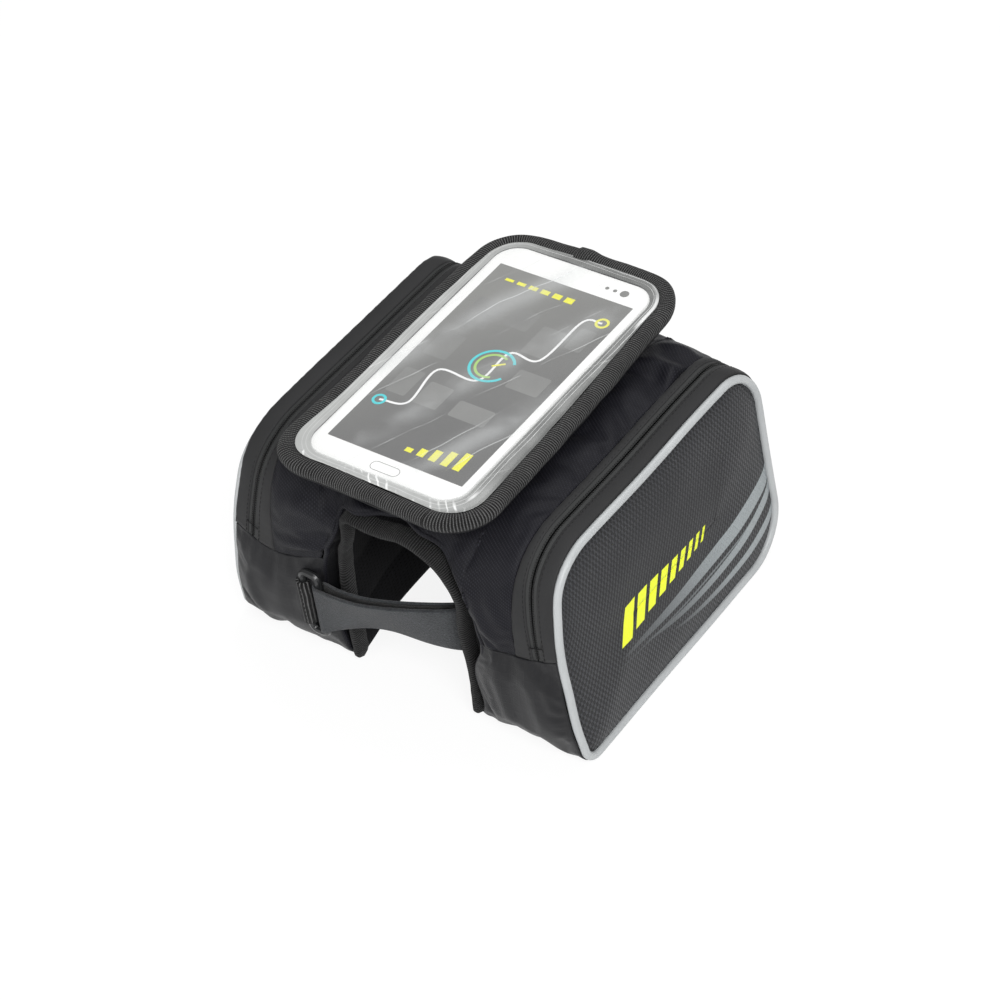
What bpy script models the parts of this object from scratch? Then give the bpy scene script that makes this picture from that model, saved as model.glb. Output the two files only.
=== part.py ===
"""Top tube phone bag: two zipped side bags joined by a padded saddle that straddles a bicycle's top tube,
with a windowed phone pouch on top and a strap across the tunnel's rear mouth.

Units are metres and +Z is up. +Y points to the front of the bicycle, where the phone's top end lies, and +X is
the rider's right. The origin is on the ground, midway across the bag and midway along it.
"""

import math

import bmesh
import bpy
from mathutils import Matrix, Vector

# Clearances
gap = 0.0003
running_gap = 0.0003
weld_distance = 0.00001
mirror_weld = 0.00005

# Side bags: the outline is a rounded rectangle in Y and Z, on a plane that leans inwards towards the top
base_half_width = 0.0913
lean = 0.1148
body_height = 0.1025
seam_rise = 0.0015
rear_bottom_y = -0.0770
rear_top_y = -0.0800
front_top_y = 0.0793
front_bottom_y = 0.0755
rear_bottom_round = 0.009
rear_top_round = 0.034
front_top_round = 0.023
front_bottom_round = 0.026
least_round = 0.002
fabric = 0.0014

# Outer panels and piping
piping_radius = 0.0020
piping_depth = 0.0005
panel_thickness = 0.0020
panel_crown = 0.0030
panel_dome = ((0.000, 0.0), (0.008, 0.5), (0.018, 0.85), (0.030, 1.0))  # way in from the edge, share of crown

# Zips
zip_from_panel = 0.0110
zip_slot = 0.0013
zip_tape_width = 0.0022
upper_gusset_width = 0.0173
rear_seam_outer = 0.0610
rear_seam_dip = 0.0530
rear_seam_dip_from_edge = 0.0323
front_seam = 0.0280

# Saddle
saddle_crown = 0.0005
saddle_thickness = 0.0016
middle_round = 0.012
round_blend_from = 0.016
round_blend_to = 0.037
edge_clearance = 0.0016
pad_clearance = 0.0009

# Tunnel and its pad
tunnel_floor_half = 0.0330
tunnel_spring_half = 0.0375
tunnel_spring_z = 0.0660
crown_flat_half = 0.0050
pad_thickness = 0.0030
pad_hem = 0.0010
pad_rear_y = -0.0775
pad_front_y = 0.0770
binding_width = 0.0090
wall_top_angle = math.radians(36)
wall_inset_share = 1.7

# Strap, ring and tab
strap_width = 0.0260
strap_thickness = 0.0013
strap_left_z = 0.0334
strap_slope = 0.085
strap_sewn_rear_y = -0.0590
strap_sewn_length = 0.0090
strap_bow = ((0.04, 0.0059), (0.14, 0.0089), (0.34, 0.0091), (0.58, 0.0067), (0.85, 0.0029))  # share, bow
strap_layers_apart = 0.0046
strap_turn_lead = 0.0020
ring_wire = 0.0017
ring_inner_height = 0.0310
ring_centre_z = 0.0346
ring_y = -0.0817
strap_bar_x = -0.0375
tab_bar_x = -0.0460
ring_corner = 0.0030
tab_width = 0.0240
tab_thickness = 0.0012
tab_sewn_x = -0.0412
tab_sewn_length = 0.0025
tab_turn_start = math.radians(100)
tab_turn_end = math.radians(375)

# Phone pouch
pouch_middle_y = 0.00075
pouch_side_margin = 0.01175
pouch_end_margin = 0.0110
pouch_round = 0.0220
patch_half_width = 0.0250
patch_length = 0.1150
patch_round = 0.0060
patch_thickness = 0.0010
pouch_fabric = 0.0012
pouch_floor_inset = 0.0170
pouch_lip_inset = 0.0015
pouch_lip_width = 0.0055
pouch_lip_drop = 0.0012
pouch_foot_inset = 0.0115
pouch_foot_rise = 0.0024
pouch_least_round = 0.0040
pouch_pad_thickness = 0.0030
blank_thickness = 0.0072
blank_inset = 0.0015
card_thickness = 0.0008
window_thickness = 0.0004
card_width = 0.0795
card_length = 0.1465
card_round = 0.0110
pouch_binding_width = 0.0075
pouch_binding_height = 0.0062
pouch_binding_soft = 0.0016
window_drop = 0.0004

# Zip slider and puller
slider_rest_z = 0.0340
slider_length = 0.0090
slider_width = 0.0070
slider_plate = 0.0012
slider_lower_plate = 0.0010
slider_neck_thickness = 0.0007
slider_neck_length = 0.0040
bridge_width = 0.0016
bridge_bar = 0.0011
bridge_clearance = 0.0004
bridge_cover = 0.0009
lower_plate_inset = 0.0004
slider_edge = 0.0002
puller_thickness = 0.0012
puller_bar = 0.0012
puller_length = 0.0240
puller_width = 0.0070
puller_eye_half = 0.0014
puller_eye_reach = 0.0036
puller_eye_wall = 0.0013
puller_shoulder = 0.0030
puller_end_cut = 0.0020

# Steps along round stretches
arc_steps = 8
straight_steps = 4
riser_steps = 2
tunnel_steps = 14
lower_columns = 8
saddle_columns = 8
notch_rounds = 16


def remove_all_objects():
    for item in list(bpy.data.objects):
        bpy.data.objects.remove(item, do_unlink=True)


def make_collection(name):
    made = bpy.data.collections.new(name)
    bpy.context.scene.collection.children.link(made)
    return made


def make_material(name, colour, roughness, metallic=0.0, alpha=1.0):
    material = bpy.data.materials.new(name)
    material.use_nodes = True
    shader = material.node_tree.nodes["Principled BSDF"]
    shader.inputs["Base Color"].default_value = (*colour, 1.0)
    shader.inputs["Roughness"].default_value = roughness
    shader.inputs["Metallic"].default_value = metallic
    shader.inputs["Alpha"].default_value = alpha
    return material


def add_object(name, data, material):
    made = bpy.data.objects.new(name, data)
    if data.materials:
        data.materials[0] = material
    else:
        data.materials.append(material)
    bag_collection.objects.link(made)
    return made


# Points and outlines

def between(start, end, count):
    """count points from start on, evenly spaced, without end."""
    return [start.lerp(end, i / count) for i in range(count)]


def smooth_step(share):
    share = min(1.0, max(0.0, share))
    return share * share * (3 - 2 * share)


def rounded_corner(before, corner, after, radius, steps=arc_steps):
    """Points of the arc that rounds a corner, from the side of before to the side of after."""
    to_before = (before - corner).normalized()
    to_after = (after - corner).normalized()
    half_angle = to_before.angle(to_after) / 2
    bisector = (to_before + to_after).normalized()
    centre = corner + bisector * (radius / math.sin(half_angle))
    first = corner + to_before * (radius / math.tan(half_angle)) - centre
    last = corner + to_after * (radius / math.tan(half_angle)) - centre
    sweep = first.angle(last)
    side = (last - first * math.cos(sweep)) / math.sin(sweep)
    turns = [sweep * i / steps for i in range(steps + 1)]
    return [centre + first * math.cos(turn) + side * math.sin(turn) for turn in turns]


def on_side(lower, upper, height):
    return lower.lerp(upper, (height - lower.y) / (upper.y - lower.y))


def rounded_rectangle(half_width, rear, front, radius):
    """A closed outline in X and Y."""
    corners = [
        Vector((half_width, rear)),
        Vector((half_width, front)),
        Vector((-half_width, front)),
        Vector((-half_width, rear)),
    ]
    outline = []
    for i, corner in enumerate(corners):
        outline += rounded_corner(corners[i - 1], corner, corners[(i + 1) % 4], radius)
    return outline


def side_outline(inset):
    """The side bag's closed outline in Y and Z, moved inwards by inset."""
    rear_bottom = Vector((rear_bottom_y + inset, inset))
    rear_top = Vector((rear_top_y + inset, body_height - inset))
    front_top = Vector((front_top_y - inset, body_height - inset))
    front_bottom = Vector((front_bottom_y - inset, inset))
    arcs = [
        rounded_corner(front_bottom, rear_bottom, rear_top, max(least_round, rear_bottom_round - inset)),
        rounded_corner(rear_bottom, rear_top, front_top, max(least_round, rear_top_round - inset)),
        rounded_corner(rear_top, front_top, front_bottom, max(least_round, front_top_round - inset)),
        rounded_corner(front_top, front_bottom, rear_bottom, max(least_round, front_bottom_round - inset)),
    ]
    outline = []
    for i, arc in enumerate(arcs):
        outline += arc[:-1] + between(arc[-1], arcs[(i + 1) % 4][0], straight_steps)
    return outline


def outer_x(height):
    """Distance of the outer plane from the middle at a height."""
    return base_half_width - lean * height


def tunnel_half(height, offset):
    """Half width of the tunnel at a height, moved outwards by offset. It is 0 above the crown."""
    if height <= tunnel_spring_z:
        share = height / tunnel_spring_z
        return tunnel_floor_half + (tunnel_spring_half - tunnel_floor_half) * share + offset
    share = (height - tunnel_spring_z) / (crown_rise + offset)
    if share >= 1:
        return 0.0
    return crown_flat_half + (crown_half + offset) * math.sqrt(1 - share * share)


def tunnel_profile(offset, floor, top_angle=math.pi / 2):
    """The right half of the tunnel's section in X and Z, from the floor up, moved outwards by offset."""
    foot = Vector((tunnel_half(floor, offset), floor))
    spring = Vector((tunnel_spring_half + offset, tunnel_spring_z))
    profile = between(foot, spring, straight_steps)
    for i in range(tunnel_steps + 1):
        turn = top_angle * i / tunnel_steps
        across = crown_flat_half + (crown_half + offset) * math.cos(turn)
        up = tunnel_spring_z + (crown_rise + offset) * math.sin(turn)
        profile.append(Vector((across, up)))
    return profile


def corner_round(across, side_round):
    """Corner radius of the saddle at a distance from the middle."""
    share = smooth_step((across - round_blend_from) / (round_blend_to - round_blend_from))
    return middle_round + (side_round - middle_round) * share


def rear_seam(across):
    """Height of the seam under the zip and the saddle at the rear: a curve that sags to its dip."""
    share = (across - rear_seam_dip_x) / (outer_x(rear_seam_outer) - rear_seam_dip_x)
    return rear_seam_dip + (rear_seam_outer - rear_seam_dip) * share * share


def upper_path(top, rear_round, front_round, seam):
    """Points in Y and Z from the rear seam up, over the top and down to the front seam."""
    rear_bottom = Vector((rear_bottom_y, 0))
    rear_top = Vector((rear_top_y, top))
    front_top = Vector((front_top_y, top))
    front_bottom = Vector((front_bottom_y, 0))
    rear_arc = rounded_corner(rear_bottom, rear_top, front_top, rear_round)
    front_arc = rounded_corner(rear_top, front_top, front_bottom, front_round)
    start = on_side(rear_bottom, rear_top, seam + gap / 2)
    end = on_side(front_bottom, front_top, front_seam + gap / 2)
    path = between(start, rear_arc[0], riser_steps) + rear_arc[:-1]
    path += between(rear_arc[-1], front_arc[0], straight_steps) + front_arc[:-1]
    path += between(front_arc[-1], end, straight_steps) + [end]
    return path


def lower_path(seam):
    """Points in Y and Z from the front seam down, under the bottom and up to the rear seam."""
    rear_bottom = Vector((rear_bottom_y, 0))
    rear_top = Vector((rear_top_y, body_height))
    front_top = Vector((front_top_y, body_height))
    front_bottom = Vector((front_bottom_y, 0))
    front_arc = rounded_corner(front_top, front_bottom, rear_bottom, front_bottom_round)
    rear_arc = rounded_corner(front_bottom, rear_bottom, rear_top, rear_bottom_round)
    start = on_side(front_bottom, front_top, front_seam - gap / 2)
    end = on_side(rear_bottom, rear_top, seam - gap / 2)
    path = [start] + front_arc[:-1]
    path += between(front_arc[-1], rear_arc[0], straight_steps) + rear_arc[:-1]
    path += between(rear_arc[-1], end, straight_steps) + [end]
    return path


# Objects from sheets, solids and curves

def sheet_mesh(name, rows, away_from, closed=False, cap=False):
    """An open surface through rows of points, with its faces turned away from a point inside."""
    mesh = bpy.data.meshes.new(name)
    work = bmesh.new()
    made = [[work.verts.new(point) for point in row] for row in rows]
    for first, second in zip(made, made[1:]):
        last = len(first) if closed else len(first) - 1
        for i in range(last):
            j = (i + 1) % len(first)
            work.faces.new((first[i], first[j], second[j], second[i]))
    if cap:
        work.faces.new(made[-1])
    bmesh.ops.remove_doubles(work, verts=work.verts[:], dist=weld_distance)
    bmesh.ops.recalc_face_normals(work, faces=work.faces[:])
    outward = sum(
        face.normal.dot(face.calc_center_median() - away_from) * face.calc_area() for face in work.faces
    )
    if outward < 0:
        bmesh.ops.reverse_faces(work, faces=work.faces[:])
    work.to_mesh(mesh)
    work.free()
    return mesh


def shade(item, angle=40):
    item.data.shade_smooth()
    item.data.set_sharp_from_angle(angle=math.radians(angle))


def add_mirror(item):
    mirror = item.modifiers.new("Mirror", "MIRROR")
    mirror.use_axis = (True, False, False)
    mirror.use_clip = True
    mirror.merge_threshold = mirror_weld


def add_solidify(item, thickness, offset=-1.0):
    solidify = item.modifiers.new("Solidify", "SOLIDIFY")
    solidify.thickness = thickness
    solidify.offset = offset
    solidify.use_even_offset = True


def add_sheet(
    name, rows, thickness, material, away_from, mirror=False, closed=False, cap=False, offset=-1.0
):
    """A sheet of even thickness on the inner side of the surface through rows."""
    item = add_object(name, sheet_mesh(name, rows, away_from, closed, cap), material)
    shade(item)
    if mirror:
        add_mirror(item)
    add_solidify(item, thickness, offset)
    return item


def add_plate(name, outline, bottom, thickness, material):
    """A flat plate with its outline in X and Y, standing on the height bottom."""
    curve = bpy.data.curves.new(name, "CURVE")
    curve.dimensions = "2D"
    curve.fill_mode = "BOTH"
    curve.extrude = thickness / 2
    spline = curve.splines.new("POLY")
    spline.points.add(len(outline) - 1)
    for point, place in zip(spline.points, outline):
        point.co = (place.x, place.y, 0, 1)
    spline.use_cyclic_u = True
    item = add_object(name, curve, material)
    item.location = (0, 0, bottom + thickness / 2)
    return item


def add_closed_tube(name, points, radius, material, resolution=2):
    curve = bpy.data.curves.new(name, "CURVE")
    curve.dimensions = "3D"
    curve.bevel_depth = radius
    curve.bevel_resolution = resolution
    spline = curve.splines.new("POLY")
    spline.points.add(len(points) - 1)
    for point, place in zip(spline.points, points):
        point.co = (*place, 1)
    spline.use_cyclic_u = True
    return add_object(name, curve, material)


def smooth_route(points, steps):
    """Points of a smooth curve through the given ones."""
    ends = [points[0] * 2 - points[1]] + points + [points[-1] * 2 - points[-2]]
    route = []
    for a, b, c, d in zip(ends, ends[1:], ends[2:], ends[3:]):
        for i in range(steps):
            t = i / steps
            route.append(
                0.5 * (2 * b + (c - a) * t + (2 * a - 5 * b + 4 * c - d) * t * t
                       + (3 * b - a - 3 * c + d) * t * t * t)
            )
    return route + [points[-1]]


# Derived sizes
gusset_seam_x = outer_x(body_height) - upper_gusset_width
rear_seam_dip_x = outer_x(rear_seam_outer) - rear_seam_dip_from_edge
saddle_top = body_height + seam_rise + saddle_crown
pouch_half_width = card_width / 2 + pouch_side_margin
pouch_rear_y = pouch_middle_y - card_length / 2 - pouch_end_margin
pouch_front_y = pouch_middle_y + card_length / 2 + pouch_end_margin
crown_half = tunnel_spring_half - crown_flat_half
crown_rise = saddle_top - saddle_thickness - pad_clearance - pad_thickness - tunnel_spring_z
pannier_middle_x = (base_half_width + tunnel_spring_half) / 2
pannier_middle = Vector((pannier_middle_x, 0, body_height / 2))
wall_offset = pad_thickness + gap
zip_half = zip_slot / 2
tape_edge = zip_half + zip_tape_width


def gusset_top(depth):
    """Height of the gusset's top at a distance inwards from the outer plane: it rises to the saddle's seam."""
    return body_height + seam_rise * min(1.0, depth / upper_gusset_width)


def band_rows(columns):
    """Turns columns of points, one along each edge or fold of a band, into rows across it."""
    return [list(row) for row in zip(*columns)]


def plane_column(side, depth):
    """A column of the upper gusset that keeps its distance from the outer plane."""
    seam = rear_seam(outer_x(rear_seam_outer) - depth)
    path = upper_path(gusset_top(depth), rear_top_round, front_top_round, seam)
    return [Vector((side * (outer_x(point.y) - depth), point.x, point.y)) for point in path]


def seam_column(side, across, top):
    """A column of the upper gusset or the saddle that keeps its distance from the middle."""
    rear_round = corner_round(across, rear_top_round)
    front_round = corner_round(across, front_top_round)
    path = upper_path(top, rear_round, front_round, rear_seam(across))
    return [Vector((side * across, point.x, point.y)) for point in path]


def add_side_bag(side, label):
    inside = Vector((side * pannier_middle.x, pannier_middle.y, pannier_middle.z))
    first = piping_depth + piping_radius + gap

    def band(name, columns, material):
        add_sheet(f"{label}_{name}", band_rows(columns), fabric, material, inside)

    # Upper gusset: an outer strip, two zip tapes with the slot between them, and an inner strip
    outer_end = zip_from_panel - tape_edge - gap
    middle = (first + outer_end) / 2
    band("zip_gusset_outer", [plane_column(side, d) for d in (first, middle, outer_end)], coated_fabric)
    outer_tape = (zip_from_panel - tape_edge, zip_from_panel - zip_half)
    band("zip_tape_outer", [plane_column(side, d) for d in outer_tape], zip_coil)
    inner_tape = (zip_from_panel + zip_half, zip_from_panel + tape_edge)
    band("zip_tape_inner", [plane_column(side, d) for d in inner_tape], zip_coil)
    start = plane_column(side, zip_from_panel + tape_edge + gap)
    seam = seam_column(side, gusset_seam_x + gap, body_height + seam_rise)
    halfway = [a.lerp(b, 0.5) for a, b in zip(start, seam)]
    band("zip_gusset_inner", [start, halfway, seam], coated_fabric)

    # Lower gusset: round the bottom from seam to seam, from the piping to the tunnel
    columns = []
    for share in [i / lower_columns for i in range(lower_columns + 1)]:
        inner_guess = tunnel_half(rear_seam_dip, wall_offset)
        outer_guess = outer_x(rear_seam_outer) - first
        path = lower_path(rear_seam(inner_guess + (outer_guess - inner_guess) * share))
        column = []
        for point in path:
            height = max(0.0, point.y)
            inner = tunnel_half(height, wall_offset)
            outer = outer_x(height) - first
            column.append(Vector((side * (inner + (outer - inner) * share), point.x, point.y)))
        columns.append(column)
    band("lower_gusset", columns, ripstop)

    # Outer panel, crowned outwards, with the piping round its edge
    edge = piping_radius * 2 + gap * 2
    rings = []
    for way_in, rise in panel_dome:
        rings.append([
            Vector((side * (outer_x(point.y) + panel_crown * rise), point.x, point.y))
            for point in side_outline(edge + way_in)
        ])
    add_sheet(f"{label}_outer_panel", rings, panel_thickness, panel_fabric, inside, closed=True, cap=True)
    middle_line = [
        Vector((side * (outer_x(point.y) - piping_depth), point.x, point.y))
        for point in side_outline(piping_radius + gap)
    ]
    add_closed_tube(f"{label}_piping", middle_line, piping_radius, reflective)

    # Inner wall between the side bag and the tunnel's pad
    rows = []
    inset = saddle_thickness * wall_inset_share + gap
    for point in tunnel_profile(wall_offset, inset + gap, wall_top_angle):
        rear = rear_limit(point.x, point.y, inset)
        front = front_limit(point.x, point.y, inset)
        rows.append([
            Vector((side * point.x, rear + (front - rear) * i / straight_steps, point.y))
            for i in range(straight_steps + 1)
        ])
    tunnel_side = Vector((side * 1.0, 0, tunnel_spring_z))
    add_sheet(f"{label}_inner_wall", rows, fabric, ripstop, tunnel_side)


def saddle_height(across):
    """Height of the saddle's top at a distance from the middle: it falls to its seam with the gusset."""
    seam_top = body_height + seam_rise
    return saddle_top + (seam_top - saddle_top) * across / gusset_seam_x


def limit(height, top, bottom_y, top_y, bottom_round, top_round, towards, inset):
    """Y of the side outline, moved inwards by inset, at a height: the rear (towards -1) or front (1)."""
    side_y = bottom_y + (top_y - bottom_y) * height / body_height - towards * inset
    for round_size, drop in (
        (bottom_round - inset, bottom_round - height),
        (top_round - inset, height - top + top_round),
    ):
        if drop > 0:
            drop = min(drop, round_size)
            side_y -= towards * (round_size - math.sqrt(round_size ** 2 - drop ** 2))
    return side_y


def rear_limit(across, height, inset=0.0):
    top = saddle_height(across)
    top_round = corner_round(across, rear_top_round)
    return limit(height, top, rear_bottom_y, rear_top_y, rear_bottom_round, top_round, -1, inset)


def front_limit(across, height, inset=0.0):
    top = saddle_height(across)
    top_round = corner_round(across, front_top_round)
    return limit(height, top, front_bottom_y, front_top_y, front_bottom_round, top_round, 1, inset)


def notch_half(station, surface):
    """Where the saddle's edge lies at a station, found in rounds: clear of the pad, or at the middle."""
    inner = 0.0
    for _ in range(notch_rounds):
        half = tunnel_half(surface(inner, station).z - saddle_thickness, wall_offset)
        if half == 0:
            return 0.0
        inner = (inner + half + edge_clearance) / 2
    return inner


def add_saddle():
    """The cover over both side bags and the tunnel, in one piece: a notch at each end follows the tunnel."""
    stations = len(seam_column(1, gusset_seam_x, saddle_top))

    def surface(across, station):
        return seam_column(1, across, saddle_height(across))[station]

    rows = []
    for station in range(stations):
        inner = notch_half(station, surface)
        row = []
        for i in range(saddle_columns + 1):
            across = inner + (gusset_seam_x - inner) * i / saddle_columns
            row.append(surface(across, station))
        rows.append(row)
    below = Vector((0, 0, tunnel_spring_z))
    add_sheet("saddle_cover", rows, saddle_thickness, dobby_fabric, below, mirror=True)


def add_tunnel():
    """The pad that lines the tunnel, and the binding on each of its ends."""
    below = Vector((0, 0, tunnel_spring_z / 2))
    lines = (
        ("tunnel_pad", pad_rear_y + binding_width + gap, pad_front_y - binding_width - gap, pad_fabric),
        ("tunnel_binding_rear", pad_rear_y, pad_rear_y + binding_width, webbing),
        ("tunnel_binding_front", pad_front_y - binding_width, pad_front_y, webbing),
    )
    for name, rear, front, material in lines:
        rows = []
        for point in tunnel_profile(pad_thickness, pad_hem):
            rows.append([Vector((point.x, rear + (front - rear) * i / 2, point.y)) for i in range(3)])
        rows.append([Vector((0, place.y, place.z)) for place in rows[-1]])
        add_sheet(name, rows, pad_thickness, material, below, mirror=True)


def strap_centre_z(across):
    return strap_left_z + strap_slope * (across - strap_bar_x)


def add_strap():
    """The strap is sewn to the right of the tunnel, passes round the ring and lies back on itself."""
    turn_radius = ring_wire + gap + strap_thickness / 2
    lowest = strap_centre_z(tunnel_floor_half) - strap_width / 2
    sewn_x = tunnel_half(lowest, 0) - gap - strap_thickness / 2
    bar = Vector((strap_bar_x, ring_y))
    sewn_front = Vector((sewn_x, strap_sewn_rear_y + strap_sewn_length))
    sewn_rear = Vector((sewn_x, strap_sewn_rear_y))
    turn_start = bar + Vector((strap_turn_lead, -turn_radius))
    turn_end = bar + Vector((strap_turn_lead, turn_radius))
    bowed = [sewn_rear.lerp(turn_start, share) - Vector((0, bow)) for share, bow in strap_bow]
    front_layer = [sewn_front, sewn_rear] + bowed + [turn_start]
    back_layer = [turn_end] + [point + Vector((0, strap_layers_apart)) for point in reversed(bowed[1:])]
    turn = []
    for i in range(arc_steps + 1):
        angle = -math.pi / 2 - math.pi * i / arc_steps
        turn.append(bar + Vector((math.cos(angle), math.sin(angle))) * turn_radius)
    route = smooth_route(front_layer, 3) + turn + smooth_route(back_layer, 3)
    rows = []
    for point in route:
        centre = strap_centre_z(point.x)
        rows.append([
            Vector((point.x, point.y, centre + strap_width * (i / 2 - 0.5))) for i in range(3)
        ])
    in_front = Vector((0, -1, 0))
    add_sheet("tube_strap", rows, strap_thickness, strap_fabric, in_front, offset=0.0)


def add_ring():
    half_height = ring_inner_height / 2 + ring_wire
    half_length = (strap_bar_x - tab_bar_x) / 2
    outline = rounded_rectangle(half_length, -half_height, half_height, ring_corner)
    middle_x = (strap_bar_x + tab_bar_x) / 2
    points = [Vector((middle_x + point.x, ring_y, ring_centre_z + point.y)) for point in outline]
    add_closed_tube("strap_ring", points, ring_wire, ring_plastic)


def add_ring_tab():
    """Webbing sewn to the left side bag beside the tunnel, with its end turned round the ring's far bar."""
    turn_radius = ring_wire + gap + tab_thickness / 2
    bar = Vector((tab_bar_x, ring_y))
    sewn_y = rear_limit(-tab_bar_x, ring_centre_z + tab_width / 2) - gap - tab_thickness / 2
    route = [Vector((tab_sewn_x, sewn_y)), Vector((tab_sewn_x - tab_sewn_length, sewn_y))]
    for i in range(2 * arc_steps + 1):
        angle = tab_turn_start + (tab_turn_end - tab_turn_start) * i / (2 * arc_steps)
        route.append(bar + Vector((math.cos(angle), math.sin(angle))) * turn_radius)
    rows = []
    for point in route:
        rows.append([
            Vector((point.x, point.y, ring_centre_z + tab_width * (i / 2 - 0.5))) for i in range(3)
        ])
    in_front = Vector((0, -1, 0))
    add_sheet("ring_tab", rows, tab_thickness, webbing, in_front, offset=0.0)


def add_pouch():
    """The phone pouch, from the saddle up: two patches, floor, pad, blank, card, window and binding."""
    patch = rounded_rectangle(
        patch_half_width,
        pouch_middle_y - patch_length / 2,
        pouch_middle_y + patch_length / 2,
        patch_round,
    )
    height = saddle_top + gap
    add_plate("saddle_loop_patch", patch, height, patch_thickness, loop_fabric)
    height += patch_thickness + gap
    add_plate("pouch_hook_patch", patch, height, patch_thickness, hook_fabric)
    height += patch_thickness + gap
    floor = height
    pad_bottom = floor + pouch_fabric + gap
    blank_bottom = pad_bottom + pouch_pad_thickness + gap
    card_bottom = blank_bottom + blank_thickness + gap
    window_bottom = card_bottom + card_thickness + gap
    binding_top = window_bottom + window_thickness + window_drop
    binding_bottom = binding_top - pouch_binding_height

    def outline(inset):
        return rounded_rectangle(
            pouch_half_width - inset,
            pouch_rear_y + inset,
            pouch_front_y - inset,
            max(pouch_least_round, pouch_round - inset),
        )

    # Floor: a shallow dish that rises to the binding
    lip = binding_bottom - gap - pouch_fabric
    levels = (
        (pouch_lip_inset, lip),
        (pouch_lip_inset + pouch_lip_width, lip - pouch_lip_drop),
        (pouch_foot_inset, floor + pouch_foot_rise),
        (pouch_floor_inset, floor),
    )
    rows = [[Vector((point.x, point.y, level)) for point in outline(inset)] for inset, level in levels]
    above = Vector((0, pouch_middle_y, binding_top + 1.0))
    add_sheet("pouch_floor", rows, pouch_fabric, pouch_cloth, above, closed=True, cap=True)
    add_plate("pouch_pad", outline(pouch_floor_inset), pad_bottom, pouch_pad_thickness, foam)
    card = rounded_rectangle(
        card_width / 2,
        pouch_middle_y - card_length / 2,
        pouch_middle_y + card_length / 2,
        card_round,
    )
    blank = rounded_rectangle(
        card_width / 2 - blank_inset,
        pouch_middle_y - card_length / 2 + blank_inset,
        pouch_middle_y + card_length / 2 - blank_inset,
        card_round - blank_inset,
    )
    add_plate("display_blank", blank, blank_bottom, blank_thickness, foam)
    add_plate("display_card", card, card_bottom, card_thickness, card_print)
    window = outline(pouch_binding_width + gap)
    add_plate("pouch_window", window, window_bottom, window_thickness, clear_film)

    # Binding: a tape folded over the edge, as a ring with rounded edges
    soft = pouch_binding_soft
    section = (
        (0.0, binding_bottom + soft),
        (soft, binding_bottom),
        (pouch_binding_width - soft / 2, binding_bottom),
        (pouch_binding_width, binding_bottom + soft / 2),
        (pouch_binding_width, binding_top - soft / 2),
        (pouch_binding_width - soft / 2, binding_top),
        (soft, binding_top),
        (0.0, binding_top - soft),
    )
    rings = [[Vector((point.x, point.y, level)) for point in outline(inset)] for inset, level in section]
    rings.append(rings[0])
    mesh = sheet_mesh("pouch_binding", rings, Vector((0, pouch_middle_y, 0)), closed=True)
    work = bmesh.new()
    work.from_mesh(mesh)
    if work.calc_volume(signed=True) < 0:
        bmesh.ops.reverse_faces(work, faces=work.faces[:])
    work.to_mesh(mesh)
    work.free()
    item = add_object("pouch_binding", mesh, webbing)
    shade(item)


# Zip sliders and pullers, on the straight run at the front

def zip_frame(side):
    """The slider's place at rest, and its axes: across the zip, out of the bag, and up along the zip."""
    column = plane_column(side, zip_from_panel)
    lower = column[-1]
    upper = column[-2]
    along = (upper - lower).normalized()
    out = along.cross(Vector((1, 0, 0))).normalized()
    across = out.cross(along).normalized()
    place = lower + along * ((slider_rest_z - lower.z) / along.z)
    turn = Matrix((across, out, along)).transposed().to_4x4()
    return Matrix.Translation(place) @ turn


def add_box(work, low, high):
    corners = bmesh.ops.create_cube(work, size=1.0)["verts"]
    size = Vector(high) - Vector(low)
    middle = (Vector(high) + Vector(low)) / 2
    bmesh.ops.scale(work, vec=size, verts=corners)
    bmesh.ops.translate(work, vec=middle, verts=corners)


def box_object(name, low, high, collection):
    mesh = bpy.data.meshes.new(name)
    work = bmesh.new()
    add_box(work, low, high)
    work.to_mesh(mesh)
    work.free()
    item = bpy.data.objects.new(name, mesh)
    collection.objects.link(item)
    return item


def join_with(item, cutter, place, operation):
    cutter.matrix_world = place
    cutter.hide_render = True
    cutter.display_type = "WIRE"
    boolean = item.modifiers.new(cutter.name, "BOOLEAN")
    boolean.operation = operation
    boolean.solver = "EXACT"
    boolean.object = cutter


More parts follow.
